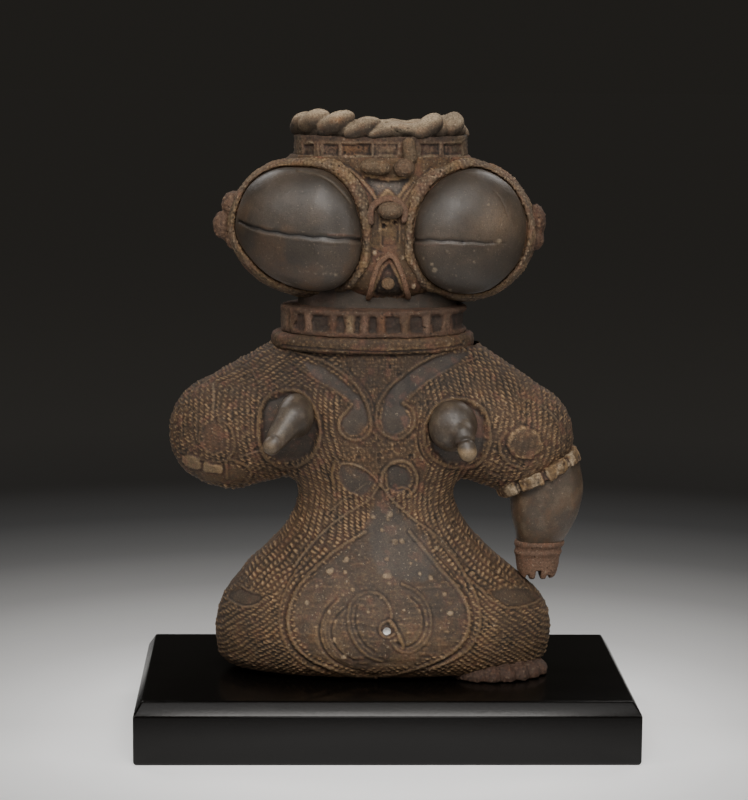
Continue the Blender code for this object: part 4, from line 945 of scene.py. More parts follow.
# each eye's outline on the face, clockwise from the figure's right: x, z
EYE_LINE = {
    "right": [(-65.5, 222.5), (-60.5, 238.0), (-50.0, 246.0), (-38.0, 247.5), (-26.0, 246.0), (-16.5, 236.5),
              (-12.0, 222.0), (-13.0, 208.5), (-20.5, 198.0), (-33.5, 195.5), (-49.5, 200.5), (-61.0, 211.0)],
    "left": [(10.5, 218.0), (12.5, 230.5), (21.5, 242.5), (37.0, 247.5), (50.5, 241.5), (58.0, 230.0),
             (59.5, 218.5), (55.0, 206.0), (43.0, 196.0), (28.5, 195.0), (17.0, 201.0), (11.5, 210.5)]}


class Outline:
    """Signed distance to a smooth closed line in the x, z plane, read from a fine grid."""

    def __init__(self, pts, step=0.4, margin=16.0):
        p = np.array(pts, float)
        q = np.vstack([p[-1], p, p[0], p[1]])
        line = []
        for i in range(len(q) - 3):
            a, b, c, d = q[i:i + 4]
            for t in np.arange(5) / 5:
                line.append(0.5 * (2 * b + (c - a) * t + (2 * a - 5 * b + 4 * c - d) * t * t + (3 * b - a - 3 * c + d) * t ** 3))
        line = np.array(line)
        self.lo, self.step = line.min(0) - margin, step
        n = np.ceil((line.max(0) + margin - self.lo) / step).astype(int) + 1
        X, Z = np.meshgrid(self.lo[0] + step * np.arange(n[0]), self.lo[1] + step * np.arange(n[1]), indexing="ij")
        best, inside = np.full(X.shape, 1e9), np.zeros(X.shape, bool)
        for (x0, z0), (x1, z1) in zip(line, np.roll(line, -1, 0)):
            dx, dz = x1 - x0, z1 - z0
            t = np.clip(((X - x0) * dx + (Z - z0) * dz) / (dx * dx + dz * dz + 1e-12), 0, 1)
            best = np.minimum(best, (X - x0 - t * dx) ** 2 + (Z - z0 - t * dz) ** 2)
            inside ^= ((z0 > Z) != (z1 > Z)) & (X < dx * (Z - z0) / (dz + 1e-12) + x0)
        self.d = np.where(inside, -1.0, 1.0) * np.sqrt(best)

    def __call__(self, x, z):
        i = (x - self.lo[0]) / self.step
        k = (z - self.lo[1]) / self.step
        ni, nk = self.d.shape
        ic, kc = np.clip(i, 0, ni - 1.001), np.clip(k, 0, nk - 1.001)
        i0, k0 = ic.astype(int), kc.astype(int)
        fi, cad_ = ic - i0, kc - k0
        d = self.d
        v = ((d[i0, k0] * (1 - fi) + d[i0 + 1, k0] * fi) * (1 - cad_) + (d[i0, k0 + 1] * (1 - fi) + d[i0 + 1, k0 + 1] * fi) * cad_)
        return v + np.hypot(i - ic, k - kc) * self.step


EYE_OUTLINE = {side: Outline(pts) for side, pts in EYE_LINE.items()}


def eye2(P, side):
    return EYE_OUTLINE[side](P[..., 0], P[..., 2])


def eye_front(P, side):
    """How far forward the bulging eye comes, and how far the point lies inside its outline."""
    cx, cz, a, y_nose, y_temple, bulge = EYES[side]
    out = -1.0 if side == "right" else 1.0
    t = np.clip(((P[..., 0] - cx) / a * out + 1) / 2, 0, 2)
    rho = np.clip(1 + eye2(P, side) / 24.5, 0, 2)
    return y_nose + (y_temple - y_nose) * t ** 1.4 - bulge * np.clip(1 - rho ** 2.2, 0, 1) ** 0.62


def eye_dome(P, side):
    """Bulging slab of clay: flat towards the nose, falling away to the temple."""
    dome = smax((eye_front(P, side) - P[..., 1]) * 0.7, eye2(P, side), 0.8)
    return np.maximum(dome, P[..., 1] + 2.0)


def eye_rim(P, side):
    e = eye2(P, side)
    Q = P.reshape(-1, 3)
    nose = step(-np.abs(Q[:, 0] + 2), -30, -12) * step(Q[:, 2], 228, 240)
    wide = (1.45 + 0.9 * noise(Q, 6.0, 5) + 1.3 * nose).reshape(P.shape[:-1])
    band = np.abs(e - 0.35 - wide) - wide
    return smax(smax(band, head(P) - 2.3, 2.6), np.maximum(-2.5 - head(P), P[..., 1] + 1.0), 0.3)


def dress_head(R, P, N):
    gritty(R, P, 0.30, 1.7, 3)
    U, V = R.U, R.V
    fr = R.front
    R.tone += 0.25 * (fbm(P, 9, 3, 7) - 0.5)
    R.m["red"] = 0.8 * step(fbm(P, 6, 3, 9), 0.5, 0.7)
    R.m["ochre"] = 0.35 * step(fbm(P, 9, 3, 19), 0.52, 0.7)
    # smooth slate triangle over the nose
    R.patch([(366, 178), (388, 181), (409, 178), (404, 187), (397, 195), (388, 190), (379, 195), (371, 187)], 0.9, 1.4, front=True, slate=1.0, gloss=0.35, tone=0.62)
    tri = R.m["slate"] > 0.3
    for k in ("red", "ochre", "orange"):
        R.m[k][tri] *= 0.1
    R.ridge([(338, 164), (352, 171), (364, 183), (374, 196), (380, 206)], 2.4, 1.0, front=True, red=0.5, pale=0.25)
    R.ridge([(432, 170), (420, 180), (410, 190), (403, 200), (398, 208)], 2.4, 1.0, front=True, red=0.5, pale=0.2)
    # column down to the mouth
    R.ridge([(379, 214), (380, 228), (381, 244)], 1.8, 0.6, front=True)
    R.ridge([(400, 214), (400, 228), (399, 244)], 1.8, 0.6, front=True)
    R.patch([(383, 226), (397, 226), (398, 246), (383, 246)], 0.4, 1.5, texture=1.0, front=True, ochre=0.5)
    # dark hollows beside the mouth arch
    R.patch([(376, 296), (378, 282), (384, 270), (389, 264), (394, 272), (399, 284), (401, 297)], 1.0, 1.4, front=True, slate=0.9, tone=-0.12)
    R.dot(384, 226, 2.4, -1.6, red=1.0)
    R.dot(395, 222, 2.4, -1.6, red=1.0)
    for u, v, r in ((369, 219, 2.4), (374, 253, 2.2), (413, 287, 2.6), (378, 260, 2.0), (403, 258, 2.0)):
        R.dot(u, v, r, 0.7, pale=0.8)
    for u, v, r in ((372, 302, 5.0), (382, 306, 5.5), (395, 305, 5.5), (405, 302, 4.5)):
        R.dot(u, v, r, 1.0, pale=0.12)
    # painted light and shade: the upper head lighter, the chin and the underside darker
    R.tone += 0.06 * step(-V, -205, -160) * fr
    R.tone -= 0.10 * step(V, 285, 300)


def dress_eye(side):
    def f(R, P, N):
        U, V = R.U, R.V
        R.h += 0.25 * (fbm(P, 14, 2, 5) - 0.5) + 0.05 * (fbm(P, 2.0, 2, 6) - 0.5)
        R.m["slate"][:] = 0.8
        R.m["gloss"][:] = 0.55 - 0.35 * step(fbm(P, 10, 3, 15), 0.45, 0.7)
        R.tone += 0.42 * (fbm(P, 11, 4, 8) - 0.5) - 0.07
        if side == "right":
            # the slit under the eye: the groove is painted darker as painted shade, and the pale line on the lip below
            # is a painted highlight
            R.groove([(239, 221), (248, 225.6), (258, 228.4), (266, 231.4), (277, 232.4), (288, 235), (300, 235.2), (312, 237.4), (324, 237), (336, 239), (348, 238.4), (362, 240)], 1.5, 0.75, front=True, tone=-0.45)
            R.ridge([(243, 226), (258, 233), (272, 236), (300, 240), (330, 243), (361, 244)], 1.7, 0.38, bank=0, front=True, pale=0.10)
            R.ridge([(328, 235), (345, 235), (359, 236)], 1.4, 0.35, bank=0, front=True, red=0.9)
            R.groove([(298, 171), (315, 174), (330, 181), (341, 191), (351, 203)], 0.8, 0.35, front=True, pale=0.3)
            R.groove([(252, 279), (270, 280), (290, 284)], 0.7, 0.12, front=True, pale=0.3)
            for k in range(9):
                R.dot(300 + 4.4 * k + 1.6 * math.sin(k * 2.7), 271.5 + 0.4 * k + 0.8 * math.sin(k * 5.1), 1.0 + 0.6 * math.sin(k * 3.3) ** 2, 0.10, pale=0.55)
            R.m["orange"] = 0.25 * step(fbm(P, 12, 3, 25), 0.5, 0.7)
        else:
            # the slit under the eye: the grooves are painted darker along their length, painted shade
            R.groove([(412, 239), (421, 240.5), (430, 239.6), (441, 241), (452, 240.6), (463, 242)], 1.4, 0.65, front=True, tone=-0.4)
            R.groove([(463, 242), (474, 241.6), (484, 243), (493, 242.6)], 1.1, 0.55, front=True, tone=-0.22)
            R.groove([(493, 242.6), (499, 243), (505, 242.6)], 0.9, 0.25, front=True, tone=-0.1)
            R.ridge([(412, 243), (428, 244.6), (444, 244.2), (462, 246), (484, 246.4)], 1.6, 0.30, bank=0, front=True, red=0.3)
            idx = R.near(np.array([(455.0, 190.0), (528.0, 262.0)]), 10, True)
            w = np.exp(-(((U - 494) / 24) ** 2 + ((V - 222) / 20) ** 2))
            R.m["orange"] = np.maximum(R.m["orange"], 0.30 * w * (0.4 + fbm(P, 7, 3, 35)))
            R.m["pale"] = np.maximum(R.m["pale"], 0.16 * w)
            R.tone += 0.12 * w
            for u, v, r in ((500, 241, 2.4), (447, 252, 1.5), (424, 258, 1.6), (432, 264, 1.5), (435, 270, 2.2), (450, 290, 2.2), (474, 262, 1.2), (456, 276, 1.2), (488, 205, 1.4)):
                R.dot(u, v, r, 0.15, pale=0.8)
            R.groove([(470, 176), (486, 184), (500, 198), (508, 216)], 0.7, 0.15, front=True)
    return f


def dress_rim(side):
    def f(R, P, N):
        e = eye2(P, side)
        gritty(R, P, 0.62, 1.45, 23)
        R.tone += 0.34 * (fbm(P, 7, 3, 7) - 0.5)
        R.m["ochre"] = 0.75 * step(fbm(P, 7, 3, 29), 0.42, 0.62)
        R.m["red"] = 0.5 * step(fbm(P, 5, 3, 39), 0.5, 0.7)
        R.h += 0.5 * (fbm(P, 5.0, 2, 27) - 0.5)
        inner = np.exp(-((e - 0.7) / 0.6) ** 2)
        R.m["orange"] = np.maximum(R.m["orange"], 0.35 * inner)
        # painted shade: the rim darker towards its bottom
        low = step(-P[:, 2], -212, -198)
        R.tone -= 0.12 * low
    return f


def rim_field(side):
    s = -1.0 if side == "right" else 1.0

    def f(P):
        half = P[..., 0] + 0.0 if side == "right" else -P[..., 0]
        return np.maximum(eye_rim(P, side), half)
    return f


lump("head_shell_clay", lambda P: np.maximum(np.maximum(head(P), -head_cavity(P)), np.maximum(P[..., 2] - 252.6, 188.6 - P[..., 2])),
     (-73, -30, 186), (71, 35, 255), 0.72, BROWN, ("head_shell",), "clay_brown", dress_head)
for side in ("right", "left"):
    cx, cz, a = EYES[side][:3]
    b = 26.5
    lump(side + "_eye_clay", lambda P, side=side: eye_dome(P, side), (cx - a - 3, -40, cz - b - 3), (cx + a + 3, 2, cz + b + 3), 0.62, DARK,
         (side + "_eye",), "clay_burnished", dress_eye(side), wear_scale=0.5)
    lump(side + "_eye_rim_clay", rim_field(side), (cx - a - 7, -34, cz - b - 7), (cx + a + 7, 1, cz + b + 7), 0.5, GREYISH,
         (side + "_eye_rim",), "clay_grey", dress_rim(side), smooth_n=9)


def proud_of_head(P, d2, proud, sink=2.0):
    return smax(d2, np.maximum(np.maximum(head(P) - proud, -sink - head(P)), P[..., 1]), 0.6)


def dress_grit(amp=0.3, size=1.4, seed=3, **masks):
    def f(R, P, N):
        gritty(R, P, amp, size, seed)
        R.tone += 0.2 * (fbm(P, 5, 3, seed + 7) - 0.5)
        for k, v in masks.items():
            if k == "tone":
                R.tone += v
            else:
                R.m[k] = np.maximum(R.m[k], v * (0.55 + 0.9 * (fbm(P, 3.0, 3, seed + 11) - 0.3)))
    return f


def path2(x, z, pts):
    best = None
    for (x0, z0), (x1, z1) in zip(pts[:-1], pts[1:]):
        dx, dz = x1 - x0, z1 - z0
        t = np.clip(((x - x0) * dx + (z - z0) * dz) / (dx * dx + dz * dz), 0, 1)
        d = np.sqrt((x - x0 - t * dx) ** 2 + (z - z0 - t * dz) ** 2)
        best = d if best is None else np.minimum(best, d)
    return best


def flat_pts(pts, y=-26.0):
    return [tuple(spot(u, v, y)[[0, 2]]) for u, v in curve(pts, steps=4)]


NOSE = flat_pts([(371, 222), (371, 211), (377, 203), (388, 199), (399, 202), (405, 211), (404, 220)])
lump("nose_bridge_clay", lambda P: proud_of_head(P, path2(P[..., 0], P[..., 2], NOSE) - 1.35, 2.4), (-12, -36, 216), (12, -14, 239), 0.42, REDDISH,
     ("nose_bridge",), "clay_grey", dress_grit(0.3, 1.2, 13, pale=0.12, red=0.4))
lump("nose_knob_clay", lambda P: smax(ellipsoid(P, spot(390.5, 210.5, -25.5), (5.4, 5.6, 3.6)), -1.5 - head(P), 0.5), (-10, -36, 224), (10, -14, 242), 0.42, GREYISH,
     ("nose_knob",), "clay_brown", dress_grit(0.35, 1.2, 14, tone=-0.05))
ARCH = flat_pts([(369, 300), (371, 290), (373, 280), (377, 268), (382, 260), (389, 255.5), (395, 259), (399, 267), (403, 277), (406, 288), (409, 299)], -25.0)
lump("mouth_arch_clay", lambda P: proud_of_head(P, path2(P[..., 0], P[..., 2], ARCH) - 1.15, 1.9), (-13, -36, 190), (13, -12, 216), 0.4, REDDISH,
     ("mouth_arch",), "clay_red", dress_grit(0.28, 1.1, 15, red=0.7, orange=0.35, pale=0.15, tone=0.02))
PEL = spot(388, 284, -25.0)
lump("mouth_pellet_clay", lambda P: proud_of_head(P, np.hypot(P[..., 0] - PEL[0], (P[..., 2] - PEL[2]) * 1.1) - 2.75, 2.2), (-7, -36, 195), (6, -12, 206), 0.36, REDDISH,
     ("mouth_pellet",), "clay_ochre", dress_grit(0.3, 1.1, 16, ochre=0.8, pale=0.1))


def bean(P, c, rad, tilt):
    q = P - c
    s, co_ = math.sin(tilt), math.cos(tilt)
    x = q[..., 0] * co_ + q[..., 2] * s
    z = -q[..., 0] * s + q[..., 2] * co_
    return ellipsoid(np.stack([x, q[..., 1], z + 0.05 * x * x / rad[0]], -1), (0, 0, 0), rad)


B1, B2 = spot(375.5, 166.5, -22.5), spot(404, 167.5, -22.3)
lump("right_forehead_pellet_clay", lambda P: bean(P, B1, (6.5, 4.4, 3.5), -0.10), (-15, -30, 241), (4, -14, 256), 0.42, GREYISH,
     ("right_forehead_pellet",), "clay_grey", dress_grit(0.4, 1.5, 17, ochre=0.35))
lump("left_forehead_pellet_clay", lambda P: bean(P, B2, (4.4, 4.3, 3.9), 0.08), (-3, -30, 241), (13, -14, 256), 0.42, GREYISH,
     ("left_forehead_pellet",), "clay_grey", dress_grit(0.4, 1.5, 18, ochre=0.2, red=0.3))
lump("right_ear_lug_clay", lambda P: np.maximum(smin(ellipsoid(P, (-66.0, 1.2, 230.5), (5.6, 6.0, 6.0)), smin(ellipsoid(P, (-71.2, 1.2, 221.8), (4.0, 4.6, 6.0)), ellipsoid(P, (-65.5, 1, 216), (4.5, 5, 5)), 1.2), 1.2), -2 - head(P)),
     (-80, -8, 208), (-56, 12, 242), 0.6, REDDISH, ("right_ear_lug",), "clay_red", dress_grit(0.7, 2.0, 19, red=0.25, pale=0.1))
lump("left_ear_lug_clay", lambda P: np.maximum(smin(ellipsoid(P, (64.0, 1.2, 224.5), (4.6, 6.0, 7.0)), ellipsoid(P, (63.5, 1.0, 216.5), (4.6, 5.5, 5.0)), 1.5), -2 - head(P)),
     (55, -8, 208), (73, 12, 236), 0.6, REDDISH, ("left_ear_lug",), "clay_red", dress_grit(0.6, 2.0, 20, red=0.15, tone=-0.06))


# ------------------------------------------------------------------ crown
def crown_out(P):
    return ellipse2(P[..., 0], P[..., 1], -3.1, 3.0, 37.4, 23.2, 2.2)


def dress_crown(R, P, N):
    ang = np.arctan2((P[:, 1] - 3.0) / 23.2, (P[:, 0] + 3.1) / 37.4)
    out = crown_out(P) > -2.5
    gritty(R, P, 0.42, 1.6, 33)
    R.tone += 0.5 * (fbm(P, 6, 3, 37) - 0.5)
    R.h += 0.9 * (fbm(P, 4.0, 3, 39) - 0.5)
    back = out & ~R.front
    bars = step(np.abs(np.mod(ang * 16 / (2 * np.pi), 1.0) - 0.5), 0.26, 0.38)
    mid = step(-np.abs(P[:, 2] - 256.3), -3.4, -2.7)
    R.h -= 1.0 * (1 - bars) * mid * back
    for a, b, dep, kw in ((303, 313, 1.2, dict(tone=-0.1)), (323, 338, 0.8, dict(red=0.6)), (342, 371, 0.9, dict(orange=0.9, tone=-0.08)),
                          (374, 397, 0.6, dict(pale=0.1)), (421, 440, 0.9, dict(slate=0.3)), (444, 462, 0.9, dict(slate=0.5))):
        R.patch([(a, 144), (b, 144), (b, 155), (a, 155)], dep, 1.1, texture=0, front=True, smooth=False, **kw)
    R.ridge([(326, 152), (330, 147), (335, 150), (333, 154)], 1.4, 0.5, front=True, red=0.6)
    R.ridge([(302, 143), (303, 150), (302, 157)], 1.8, 0.5, front=True, red=0.8)
    R.ridge([(318, 143), (318, 150), (319, 157)], 1.8, 0.5, front=True, red=0.5, pale=0.15)
    R.m["ochre"] = np.maximum(R.m["ochre"], 0.3 * step(fbm(P, 7, 3, 57), 0.5, 0.65))
    R.m["red"] = np.maximum(R.m["red"], 0.5 * step(fbm(P, 6, 3, 58), 0.42, 0.6))
    # darker overall, and painted shade along the top of the wall under the rope
    R.tone -= 0.20 + 0.15 * step(P[:, 2], 258.4, 259.8)
    R.h += 0.5 * (fbm(P, 5, 2, 38) - 0.5)


lump("crown_wall_clay", lambda P: np.maximum(smax(crown_out(P), np.abs(P[..., 2] - 256.5) - 4.6, 0.6), -(crown_out(P) + 6.6)),
     (-44, -24, 250), (38, 30, 263), 0.55, GREYISH, ("crown_wall",), "clay_grey", dress_crown)

# the rope: overlapping twists, one slanting lobe after another, from the figure's right round the face, then the back
TWISTS = []
for u0, u1, v0, v1, lean, fat in ((286, 312, 113, 137, 0.55, 1.0), (297, 331, 109, 135, 0.45, 1.0), (318, 352, 111, 137, 0.50, 1.05), (345, 379, 117, 140, 0.42, 1.0), (371, 401, 122, 140, 0.30, 0.80),
                                  (397, 424, 124, 139, -0.25, 0.78), (412, 446, 115, 139, 0.50, 1.05), (438, 470, 113, 138, 0.50, 1.0)):
    p = spot((u0 + u1) / 2, (v0 + v1) / 2, -17.0)
    c = min(max((p[0] + 3.1) / 34.4, -0.985), 0.985)
    TWISTS.append((-math.acos(c), p[2], fat, lean, 7.4 if abs(c) < 0.8 else 6.4, (v1 - v0) * 0.43 / 2))
for k in range(9):
    t = (k + 0.5) / 9
    TWISTS.append((math.pi * (0.07 + 0.86 * t), 265.3 - 3.6 * math.sin(math.pi * t) ** 0.5 + 0.4 * math.sin(k * 2.1), 1.0, 0.5, 7.2, 5.0 + 0.3 * math.sin(k * 1.3)))


def rope(P):
    best = None
    for a, z, fat, lean, L, H in TWISTS:
        c = np.array([-3.1 + 34.0 * math.cos(a), 3.0 + 19.8 * math.sin(a), z])
        t = np.array([-34.0 * math.sin(a), 19.8 * math.cos(a), 0.0])
        t /= np.linalg.norm(t)
        n = np.array([t[1], -t[0], 0.0])
        q = P - c
        along, out, w = q @ t, q @ n, q[..., 2]
        ca, sa = math.cos(lean), math.sin(lean)
        s2 = along * ca + w * sa
        w2 = -along * sa + w * ca
        d = ellipsoid(np.stack([s2, out + 0.035 * s2 * np.abs(s2), w2], -1), (0, 0, 0), (L * 1.12, 5.3 * fat, H * 0.86))
        best = d if best is None else smin(best, d, 0.45)
    ring = np.hypot(ellipse2(P[..., 0], P[..., 1], -3.1, 3.0, 33.6, 19.4), P[..., 2] - 263.4) - 3.2
    best = smin(best, ring, 0.6)
    return smax(best, 260.2 - P[..., 2], 0.4)


def dress_rope(R, P, N):
    gritty(R, P, 0.20, 1.5, 43)
    R.h += 0.7 * (fbm(P, 6, 2, 47) - 0.5)
    R.tone += 0.34 * (fbm(P, 7, 3, 44) - 0.5)
    # faces turned up are painted pale and lighter: painted light from above, with pale deposit on the tops
    up = step(N[:, 2], 0.15, 0.8)
    R.m["pale"] = 0.95 * up * np.clip(0.1 + 1.3 * fbm(P, 5, 3, 45), 0, 1)
    R.tone += 0.16 * up
    R.paint(np.arange(len(P)), np.exp(-(((R.U - 339) / 5) ** 2 + ((R.V - 119) / 4) ** 2)) * R.front, orange=1.0)
    R.paint(np.arange(len(P)), np.exp(-(((R.U - 303) / 8) ** 2 + ((R.V - 127) / 4) ** 2)) * R.front, ochre=0.7)
    R.paint(np.arange(len(P)), np.exp(-(((R.U - 400) / 9) ** 2 + ((R.V - 131) / 3) ** 2)) * R.front, pale=0.9)
    R.paint(np.arange(len(P)), np.exp(-(((R.U - 461) / 5) ** 2 + ((R.V - 121) / 7) ** 2)) * R.front, pale=0.9)
    # painted shade: faces turned down darker
    R.tone -= 0.34 * step(-N[:, 2], -0.35, 0.35)


lump("crown_rope_clay", rope, (-48, -27, 259), (42, 33, 274), 0.62, GREYISH, ("crown_rope",), "clay_grey", dress_rope)
lump("crown_lug_clay", lambda P: np.maximum(segment(P, (8.6, -20.3, 252.6), (8.0, -21.6, 258.4), 3.1, 2.7), -1.5 - crown_out(P)),
     (3, -28, 248), (14, -15, 263), 0.45, GREYISH, ("crown_lug",), "clay_grey", dress_grit(0.35, 1.4, 53, pale=0.05, ochre=0.35, tone=-0.12))


# ------------------------------------------------------------------ neck and collar
def bored(P, d):
    return np.maximum(d, -neck_bore(P))


def dress_ring(R, P, N):
    R.h += 0.25 * (fbm(P, 7, 3, 62) - 0.5)
    gritty(R, P, 0.36, 1.6, 61)
    R.m["red"] = 0.8 * step(fbm(P, 7, 3, 63), 0.50, 0.64)
    R.tone += 0.34 * (fbm(P, 7, 3, 64) - 0.5) - 0.13
    R.h += 0.8 * (fbm(P, 6, 3, 65) - 0.5)
    R.groove([(282, 345), (300, 347), (340, 350), (380, 352), (430, 350), (462, 345)], 1.0, 0.5)


lump("lower_neck_ring_clay", lambda P: bored(P, smax(ellipse2(P[..., 0], P[..., 1], -6.0, 1.5, 44.0, 29.8, 2.15), np.abs(P[..., 2] - 172.8) - 3.6, 3.2)),
     (-54, -32, 167), (42, 35, 179), 0.62, BROWN, ("lower_neck_ring",), "clay_burnished", dress_ring)

BARS = [284, 292, 308, 332, 350, 365, 382, 406, 427, 447]


def ladder(P):
    U, V = face_on(P.reshape(-1, 3))
    U = U.reshape(P.shape[:-1])
    U = U + 7.0 * (fbm(P.reshape(-1, 3), 5.0, 2, 76) - 0.5).reshape(U.shape)
    d = np.full(U.shape, 99.0)
    for b in BARS:
        d = np.minimum(d, np.abs(U - b) * 0.43)
    mid = np.clip(1.0 - (np.abs(P[..., 2] - 181.8) / 4.0) ** 8, 0, 1)
    sunk = 1.7 * np.clip((d - 1.0) / 1.7, 0, 1) * mid
    dd = ellipse2(P[..., 0], P[..., 1], -5.5, 1.5, 40.3, 29.2, 2.15) + sunk
    return bored(P, smax(dd, np.abs(P[..., 2] - 182.0) - 5.9, 1.3))


def dress_ladder(R, P, N):
    gritty(R, P, 0.38, 1.4, 71)
    R.h += 0.8 * (fbm(P, 4, 3, 72) - 0.5)
    R.tone += 0.25 * (fbm(P, 7, 3, 73) - 0.5)
    bump_in = step(-ladder(P + 0.0), -0.3, 0.6)
    e = ellipse2(P[:, 0], P[:, 1], -5.5, 1.5, 40.3, 29.2, 2.15)
    # the sunk cells between the bars: a little slate colour, and painted shade darkening them
    recess_slate_and_shade = step(-e, 0.6, 1.5) * (np.abs(P[:, 2] - 181.8) < 4.5)
    R.m["slate"] = np.maximum(R.m["slate"], 0.3 * recess_slate_and_shade)
    R.tone -= 0.22 * recess_slate_and_shade + 0.15
    for b, kw in ((284, dict(pale=0.2)), (292, dict(ochre=0.4)), (308, dict(red=0.9, pale=0.25)), (332, dict(red=0.2)), (350, dict(ochre=1.0, pale=0.3)), (365, dict(red=0.9, pale=0.2)),
                  (382, dict(red=0.5, orange=0.8)), (406, dict(ochre=0.3)), (427, dict(red=0.9, pale=0.3)), (447, dict(red=0.2, pale=0.15))):
        idx = np.flatnonzero((np.abs(R.U - b) < 8) & (e > -0.9))
        R.paint(idx, np.exp(-((R.U[idx] - b) / 3.4) ** 2) * step(-np.abs(P[idx, 2] - 182), -4.6, -2.6), **kw)
    R.m["red"] = np.maximum(R.m["red"], 0.45 * step(fbm(P, 7, 3, 74), 0.5, 0.66))


lump("neck_collar_clay", ladder, (-50, -31, 173), (39, 34, 191), 0.6, REDDISH, ("neck_collar",), "clay_red", dress_ladder)


def dress_plain(R, P, N):
    R.h += 0.3 * (fbm(P, 8, 3, 82) - 0.5)
    gritty(R, P, 0.08, 1.4, 81)
    # darker tone: partly the neck's own dark clay, partly painted shadow under the chin
    R.tone += 0.3 * (fbm(P, 7, 3, 84) - 0.5) - 0.12
    R.m["red"] = 0.3 * step(fbm(P, 8, 3, 83), 0.55, 0.68)


lump("neck_clay", lambda P: bored(P, np.maximum(ellipse2(P[..., 0], P[..., 1], -4.0, MID, 34.6, 19.2, 2.1), np.abs(P[..., 2] - 193.2) - 6.6)),
     (-42, -26, 185), (34, 30, 202), 0.7, DARK, ("neck",), "clay_burnished", dress_plain)


# ------------------------------------------------------------------ left arm below the band, foot, horns
def arm_tube(P):
    along = (P[..., 0] - 67.0) * -0.900 + (P[..., 2] - 113.8) * -0.435
    return ellipse2(along, P[..., 1], 0.0, 1.5, 20.2, 19.2, 2.2)


def dress_band(R, P, N):
    gritty(R, P, 0.6, 1.9, 91)
    ang = np.arctan2(P[:, 1] - 1.5, (P[:, 0] - 67.0) * 0.9 + (P[:, 2] - 113.8) * 0.435)
    gap = step(np.cos(ang * 9 + 0.6), 0.72, 0.95)
    R.h -= 1.1 * gap + 0.5 * step(fbm(P, 5, 2, 92), 0.5, 0.7)
    R.m["red"] = 0.5 * gap
    for u0, v0, u1, v1 in ((505, 483, 522, 496), (525, 471, 540, 487), (543, 463, 562, 477), (563, 446, 579, 472)):
        w = step(R.U, u0 - 2, u0 + 2) * (1 - step(R.U, u1 - 2, u1 + 2)) * step(R.V, v0 - 3, v0 + 2) * (1 - step(R.V, v1 - 1, v1 + 3)) * R.front
        R.m["pale"] = np.maximum(R.m["pale"], 0.8 * w * step(fbm(P, 4, 2, 95), 0.42, 0.62))
        R.m["ochre"] = np.maximum(R.m["ochre"], 0.9 * w)
        R.h -= 0.4 * w
    R.tone += 0.2 * (fbm(P, 5, 3, 94) - 0.5)


lump("left_armband_clay", lambda P: smax(np.abs(band_coord(P)) - 3.3, arm_tube(P), 1.8),
     (42, -24, 98), (92, 27, 130), 0.62, BROWN, ("left_armband",), "clay_ochre", dress_band)


def dress_forearm(R, P, N):
    R.h += 0.3 * (fbm(P, 9, 3, 101) - 0.5)
    gritty(R, P, 0.06, 1.2, 102)
    R.tone += 0.25 * (fbm(P, 9, 4, 103) - 0.5) + 0.05
    R.m["gloss"][:] = 0.35
    R.m["pale"] = 0.12 * step(fbm(P, 4, 3, 104), 0.5, 0.7)
    R.m["orange"] = 0.2 * step(fbm(P, 8, 3, 105), 0.5, 0.7)


lump("left_forearm_clay", lambda P: np.maximum(np.maximum(forearm(P), band_coord(P) + 2.0), 83.2 - P[..., 2]),
     (50, -18, 80), (92, 20, 128), 0.6, DARK, ("left_forearm",), "clay_burnished", dress_forearm)


def hand(P):
    z = P[..., 2]
    d = forearm(P) - 0.3 - 0.9 * np.exp(-((z - 82.4) / 1.3) ** 2) - 0.6 * np.exp(-((z - 78.6) / 1.1) ** 2)
    d = np.maximum(d, z - 84.0)
    d = smax(d, 66.9 - z, 1.5)
    for u, w, dep in ((538, 1.5, 4.6), (528, 0.9, 2.6), (548, 0.9, 2.6)):
        p = spot(u, 572, -6.0)
        notch = np.maximum(np.abs(P[..., 0] - p[0] - 0.1 * (z - 68)) - w * 0.75, z - 66.5 - dep)
        d = smax(d, -notch, 0.9)
    return np.maximum(d, 0.6 - core(P))


lump("left_hand_clay", hand, (54, -14, 62), (82, 16, 87), 0.45, REDDISH, ("left_hand",), "clay_red", dress_grit(0.3, 1.4, 111, red=0.5, pale=0.12, tone=0.03))


def foot(P):
    ca, sa = math.cos(0.42), math.sin(0.42)
    a, b = (P[..., 0] - 50) * ca + (P[..., 1] + 14.5) * sa, -(P[..., 0] - 50) * sa + (P[..., 1] + 14.5) * ca
    d = ellipsoid(np.stack([a, b, P[..., 2] - 29.0], -1), (0, 0, 0), (22.5, 16.5, 7.4))
    k = np.mod(a + 20.5, 7.0) - 3.5
    toe = 1.9 * np.clip(1 - (np.abs(k) / 3.5) ** 2, 0, 1) - 1.3
    d = d - toe * step(-b, 7, 13)
    lip = 0.9 * np.exp(-((P[..., 2] - 34.0) / 0.9) ** 2)
    return smax(np.maximum(d + lip * step(-b, 9, 14), -2 - core(P)), SEAT_Z - P[..., 2], 0.3)


# the foot's tone is lowered: partly its own dark red-brown, partly painted shade
lump("left_foot_clay", foot, (24, -41, 26), (76, -4, 40), 0.5, REDDISH, ("left_foot",), "clay_red", dress_grit(0.6, 1.7, 121, red=0.4, tone=-0.26))

BREASTS = {"right": ((-39.0, -20.0, 147.0), (-44.0, -38.0, 130.5), 7.4, 4.4), "left": ((27.8, -20.0, 145.0), (33.4, -38.0, 129.5), 7.4, 4.7)}


def horn(P, side):
    b, r1 = BREASTS[side][1], BREASTS[side][3]
    if side == "left":
        base = ellipsoid(P, spot(453, 426, -25.5), (10.4, 9.2, 11.2))
        return smin(base, segment(P, spot(463, 434, -33.0), (b[0] + 0.2, b[1] + 0.6, b[2] - 0.4), 4.9, 3.9), 2.4)
    base = ellipsoid(P, spot(296, 416, -27.0), (7.6, 9.0, 9.6))
    return smin(base, segment(P, spot(292, 418, -31.0), spot(272, 446, -38.5), 6.8, 4.0), 2.0)


